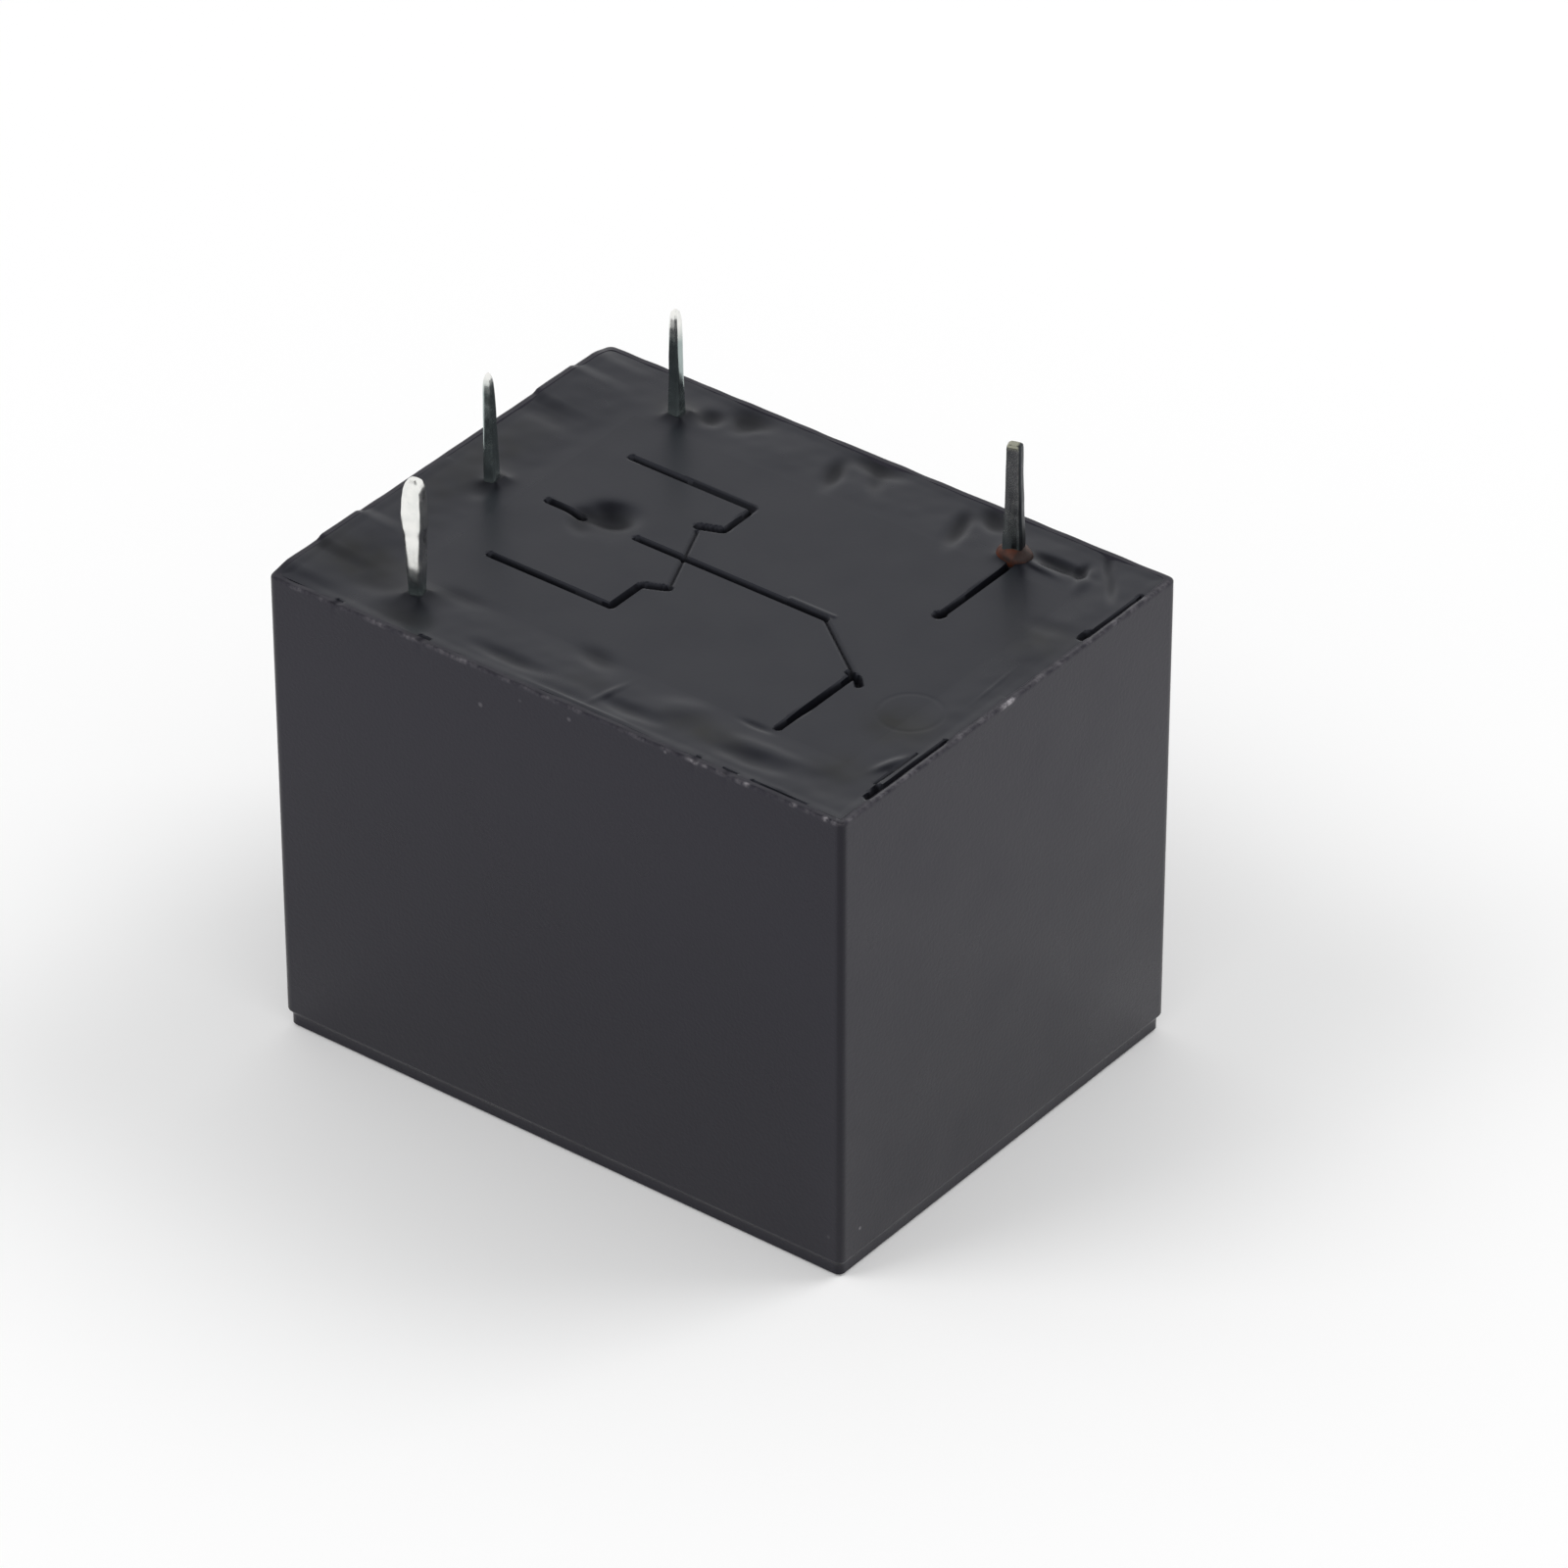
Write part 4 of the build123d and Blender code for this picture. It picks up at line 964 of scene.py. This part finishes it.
# The terminals over the case: new name, root size, turn of the solder coat in degrees, place and lean aside,
# limits of the tarnish and painted dark reflection, rounding and seed
PINS = {
    "coil_terminal_front": ("coil_pin_front", (0.5, 0.5), 16, (0, 0), (-0.03, -0.02), (0.3, 0.9), 0.13, 41),
    "coil_terminal_back": ("coil_pin_back", (0.5, 0.5), 0, (-0.05, -0.04), (-0.02, 0.0), (2.4, 3.0), 0.1, 43),
    "common_terminal": ("common_pin", (0.36, 0.42), 14, (-0.09, -0.06), (-0.06, -0.03), (2.9, 3.4), 0.08, 47),
    "switch_terminal": ("switch_pin", (0.62, 0.45), 18, (-0.02, -0.02), (0.0, 0.0), (0.1, 1.8), 0.1, 53),
}
# Rows along each: height over the rim, and widths along x and y as shares of the root's
PIN_ROWS = {
    "coil_terminal_front": (
        (-0.2, 0.9, 0.9), (0.3, 0.88, 0.9), (0.6, 0.94, 1.0), (1.0, 1.06, 1.1), (1.6, 1.12, 1.14),
        (2.1, 1.16, 1.16), (2.32, 1.3, 1.24), (2.8, 1.36, 1.28), (3.3, 1.28, 1.22), (3.62, 1.12, 1.08),
        (3.8, 0.86, 0.84), (3.9, 0.42, 0.42),
    ),
    "coil_terminal_back": (
        (-0.2, 0.9, 0.9), (0.4, 0.8, 0.8), (1.2, 0.7, 0.7), (2.2, 0.66, 0.66), (3.0, 0.62, 0.62),
        (3.35, 0.54, 0.54), (3.52, 0.42, 0.42), (3.6, 0.18, 0.18),
    ),
    "common_terminal": (
        (-0.2, 1.1, 1.1), (0.6, 1.0, 1.0), (1.4, 0.94, 0.92), (2.4, 0.84, 0.82), (3.0, 0.76, 0.74),
        (3.3, 0.68, 0.66), (3.5, 0.52, 0.5), (3.6, 0.34, 0.32), (3.65, 0.16, 0.16),
    ),
    "switch_terminal": (
        (-0.2, 1.0, 1.0), (0.7, 0.98, 0.96), (1.2, 0.9, 0.88), (1.7, 0.82, 0.82), (2.3, 0.77, 0.78),
        (3.0, 0.75, 0.76), (3.61, 0.73, 0.74), (3.72, 0.68, 0.68), (3.76, 0.5, 0.5),
    ),
}


class RELAY_OT_pins(bpy.types.Operator):
    """Four solder-dipped terminals over the hidden parts of their nodes"""

    bl_idname = "relay.pins"
    bl_label = "Terminals"

    def execute(self, context):
        pins = context.scene.relay_pins
        rim = context.scene.relay_case.height / MM
        for node, (name, root, twist, shift, lean, tarnish_and_reflection, rounding, seed) in PINS.items():
            place_x, place_y = pin_place(node)[:2]
            heights, wide_x, wide_y = zip(*PIN_ROWS[node])
            low, high = heights[0], heights[-1]
            place = [side * MM for side in (place_x, place_y, rim + (low + high) / 2)]
            sides = [side * MM for side in (*root, high - low)]
            piece = new_block(name, place, sides, rounding * MM, 3)
            pick(piece, "EDGE", upright)
            bpy.ops.mesh.subdivide(number_cuts=pins.rows)
            # Rows down the broad faces, and none on the rounded corners
            for axis in (0, 1):
                pick(piece, "EDGE", lambda edge: span(edge, axis) > 0.00015 and len(edge.link_faces) == 2)
                bpy.ops.mesh.subdivide(number_cuts=4)
            bpy.ops.object.mode_set(mode="OBJECT")
            x, y, z = points_of(piece)
            # Rows crowd towards the tip, where the shape changes most
            share_up = (z - rim - low) / (high - low)
            over = low + (high - low) * (1 - np.maximum(1 - share_up, 0) ** 1.35)
            aside_x = (x - place_x) * np.interp(over, heights, wide_x)
            aside_y = (y - place_y) * np.interp(over, heights, wide_y)
            turn = np.arctan2(aside_y, aside_x)
            lumps = waves(over, turn * 0.35, 1.3, seed) + 0.25 * waves(over, turn * 0.3, 0.5, seed + 1)
            grown = 1 + pins.lump / MM / 0.25 * lumps
            aside_x, aside_y = turned(aside_x * grown, aside_y * grown, twist)
            x = place_x + aside_x + shift[0] + lean[0] * over / high
            y = place_y + aside_y + shift[1] + lean[1] * over / high
            put_points(piece, x, y, rim + over)
            add_rest_of_node(piece, node, rim * MM - OVERLAP)
            flank = SHADED_FLANK if node == "switch_terminal" else None
            metal = solder(name + "_solder", *tarnish_and_reflection, flank)
            finish_piece(piece, metal, "housing", [node], 40)
        return {"FINISHED"}


class RELAY_OT_flux(bpy.types.Operator):
    """Lumpy ring of dried flux at the root of the switch terminal"""

    bl_idname = "relay.flux"
    bl_label = "Flux residue"

    def execute(self, context):
        pins = context.scene.relay_pins
        place_x, place_y = pin_place("switch_terminal")[:2]
        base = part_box("flux_residue")[0].z
        clear_selection()
        bpy.ops.mesh.primitive_uv_sphere_add(
            segments=56,
            ring_count=28,
            radius=1,
            location=(place_x * MM, place_y * MM, base),
            scale=(pins.flux_radius, pins.flux_radius * 0.82, pins.flux_height),
        )
        piece = new_piece("flux_ring")
        open_piece(piece)
        # The ring is so low that the usual threshold would count whole rows of it as on the plane
        cut((0, 0, base - OVERLAP), (0, 0, -1), use_fill=True, clear_outer=True, threshold=1e-6)
        bpy.ops.object.mode_set(mode="OBJECT")
        x, y, z = points_of(piece)
        aside_x, aside_y, up = x - place_x, y - place_y, z - base / MM
        turn = np.arctan2(aside_y, aside_x)
        grown = 1 + 0.05 * waves(np.cos(turn), np.sin(turn), 1.6, 61) + 0.01 * waves(x, y + up, 0.4, 67)
        x, y = place_x + aside_x * grown, place_y + aside_y * grown
        raised = np.where(up > 0, 1 + 0.05 * waves(x, y, 0.8, 71), 1)
        put_points(piece, x, y, base / MM + up * raised)
        finish_piece(piece, dried_flux(), "housing", ["flux_residue"], 60)
        return {"FINISHED"}


class RELAY_OT_spring(bpy.types.Operator):
    """Contact spring, bent between the yoke and the armature, with rows cut across it"""

    bl_idname = "relay.spring"
    bl_label = "Contact spring"

    def execute(self, context):
        inside = context.scene.relay_inside
        piece = copy_of_node("contact_spring", "bending_spring")
        low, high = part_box("contact_spring")
        for level in np.arange(low.z + 0.0002, high.z, 0.00025):
            cut((0, 0, level), (0, 0, 1))
        for along in np.arange(low.x + 0.0003, low.x + 0.004, 0.0003):
            cut((along, 0, 0), (1, 0, 0))
        bpy.ops.object.mode_set(mode="OBJECT")
        metal = rolled_metal("rolled_spring_copper", inside.copper_colour, 0.3, (1, 6, 1))
        finish_piece(piece, metal, None, ["contact_spring"])
        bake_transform(piece)
        return {"FINISHED"}


class RELAY_OT_inside(bpy.types.Operator):
    """Finishes of the inner pieces that keep their own shape"""

    bl_idname = "relay.inside"
    bl_label = "Inner finishes"

    def execute(self, context):
        inside = context.scene.relay_inside
        iron = rolled_metal("zinc_plated_iron", inside.iron_colour, 0.38, (4, 1, 1))
        turned = rolled_metal("turned_iron", inside.iron_colour, 0.3, (1, 1, 8))
        silver = rolled_metal("formed_silver", inside.silver_colour, 0.22, (1, 1, 1))
        finishes = {
            "back_stop": rolled_metal("stamped_brass", inside.brass_colour, 0.28, (1, 1, 5)),
            "fixed_contact": silver,
            "moving_contact": silver,
            "armature": iron,
            "armature_rivets": turned,
            "yoke": iron,
            "yoke_rivets": turned,
            "core": turned,
            "bobbin": bobbin_plastic(),
            "coil_winding": enamelled_wire("wound_wire", True),
            "coil_lead_front": enamelled_wire("lead_wire", False),
        }
        finishes["coil_lead_back"] = finishes["coil_lead_front"]
        for node, material in finishes.items():
            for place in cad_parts[node].material_slots:
                place.material = material
        return {"FINISHED"}


class RELAY_OT_stage(bpy.types.Operator):
    """Pale floor, soft light all round, three area lights and the camera"""

    bl_idname = "relay.stage"
    bl_label = "Stage"

    def execute(self, context):
        stage = context.scene.relay_stage
        clear_selection()
        bpy.ops.mesh.primitive_plane_add(size=stage.floor_size)
        floor = new_piece("floor")
        floor.data.materials.append(self.floor_paint(stage))
        self.tent(context, stage)
        for name, place, power in (
            ("overhead_light", (0.05, 0.1, 0.7), 0.1),
            ("right_light", (0.61, 0.79, 1.2), 6.3),
            ("left_light", (-0.61, -0.79, 1.2), 6.3),
        ):
            bpy.ops.object.light_add(type="AREA", location=place)
            light = bpy.context.object
            light.name = name
            light.data.energy = power
            light.data.size = stage.lamp_size
            light.visible_glossy = False
            light.rotation_euler = (-Vector(place)).to_track_quat("-Z", "Y").to_euler()
        self.camera(context, stage)
        context.scene.view_settings.view_transform = "Standard"
        return {"FINISHED"}

    def floor_paint(self, stage):
        """Pale matt floor that glows a little to the camera, so that it is white and keeps its shadow."""
        paint = Paint("pale_floor", Roughness=1.0, Specular_IOR_Level=0.0, Emission_Color=(1, 1, 1))
        colour = paint.mottled(paint.noise(60, 2), stage.floor_colour, 1, 0.985)
        paint.lead(colour, paint.shader["Base Color"])
        glow = paint.number("MULTIPLY", paint.seen_directly(), stage.glow)
        paint.lead(glow, paint.shader["Emission Strength"])
        return paint.material

    def tent(self, context, stage):
        """Even light from all round, white to the camera, with a dimmer ceiling overhead."""
        world = bpy.data.worlds.new("light_tent")
        context.scene.world = world
        sky = Nodes(world)
        upward = sky.part(sky.add("ShaderNodeTexCoord").outputs["Generated"], 2)
        ceiling = sky.between(upward, 0.75, 0.95, 1.0, stage.ceiling)
        light = sky.tree.nodes["Background"].inputs
        sky.lead((1, 1, 1), light["Color"])
        sky.lead(sky.between(sky.seen_directly(), 0.0, 1.0, stage.tent, ceiling), light["Strength"])

    def camera(self, context, stage):
        """Camera at the photograph's angle, far off with a long lens."""
        level = math.cos(stage.elevation)
        back = Vector((
            math.sin(stage.azimuth) * level,
            -math.cos(stage.azimuth) * level,
            math.sin(stage.elevation),
        ))
        bpy.ops.object.camera_add(location=Vector(stage.aim) + back * stage.distance)
        camera = bpy.context.object
        camera.name = "studio_camera"
        facing = (-back).to_track_quat("-Z", "Y").to_matrix()
        camera.rotation_euler = (facing @ Matrix.Rotation(stage.roll, 3, "Z")).to_euler()
        camera.data.lens = stage.lens
        camera.data.sensor_width = 36
        camera.data.clip_start, camera.data.clip_end = 0.01, 10
        context.scene.camera = camera


OPERATORS = (
    RELAY_OT_case,
    RELAY_OT_terminal_plate,
    RELAY_OT_resin,
    RELAY_OT_pins,
    RELAY_OT_flux,
    RELAY_OT_spring,
    RELAY_OT_inside,
    RELAY_OT_stage,
)


class RELAY_PT_sidebar(bpy.types.Panel):
    """Lists the relay's pieces and their sizes"""

    bl_idname = "RELAY_PT_sidebar"
    bl_label = "Relay"
    bl_space_type = "VIEW_3D"
    bl_region_type = "UI"
    bl_category = "Relay"

    def draw(self, context):
        for operator in OPERATORS:
            self.layout.operator(operator.bl_idname)
        for name, group in GROUPS.items():
            column = self.layout.column(align=True)
            for setting in group.__annotations__:
                column.prop(getattr(context.scene, name), setting)


CLASSES = (*GROUPS.values(), *OPERATORS, RELAY_PT_sidebar)


def register():
    for part in CLASSES:
        bpy.utils.register_class(part)
    for name, group in GROUPS.items():
        setattr(bpy.types.Scene, name, PointerProperty(type=group))


def unregister():
    for name in GROUPS:
        delattr(bpy.types.Scene, name)
    for part in reversed(CLASSES):
        bpy.utils.unregister_class(part)


def main():
    register()
    for operator in OPERATORS:
        family, name = operator.bl_idname.split(".")
        getattr(getattr(bpy.ops, family), name)()
    clear_selection()


if __name__ == "__main__":
    main()
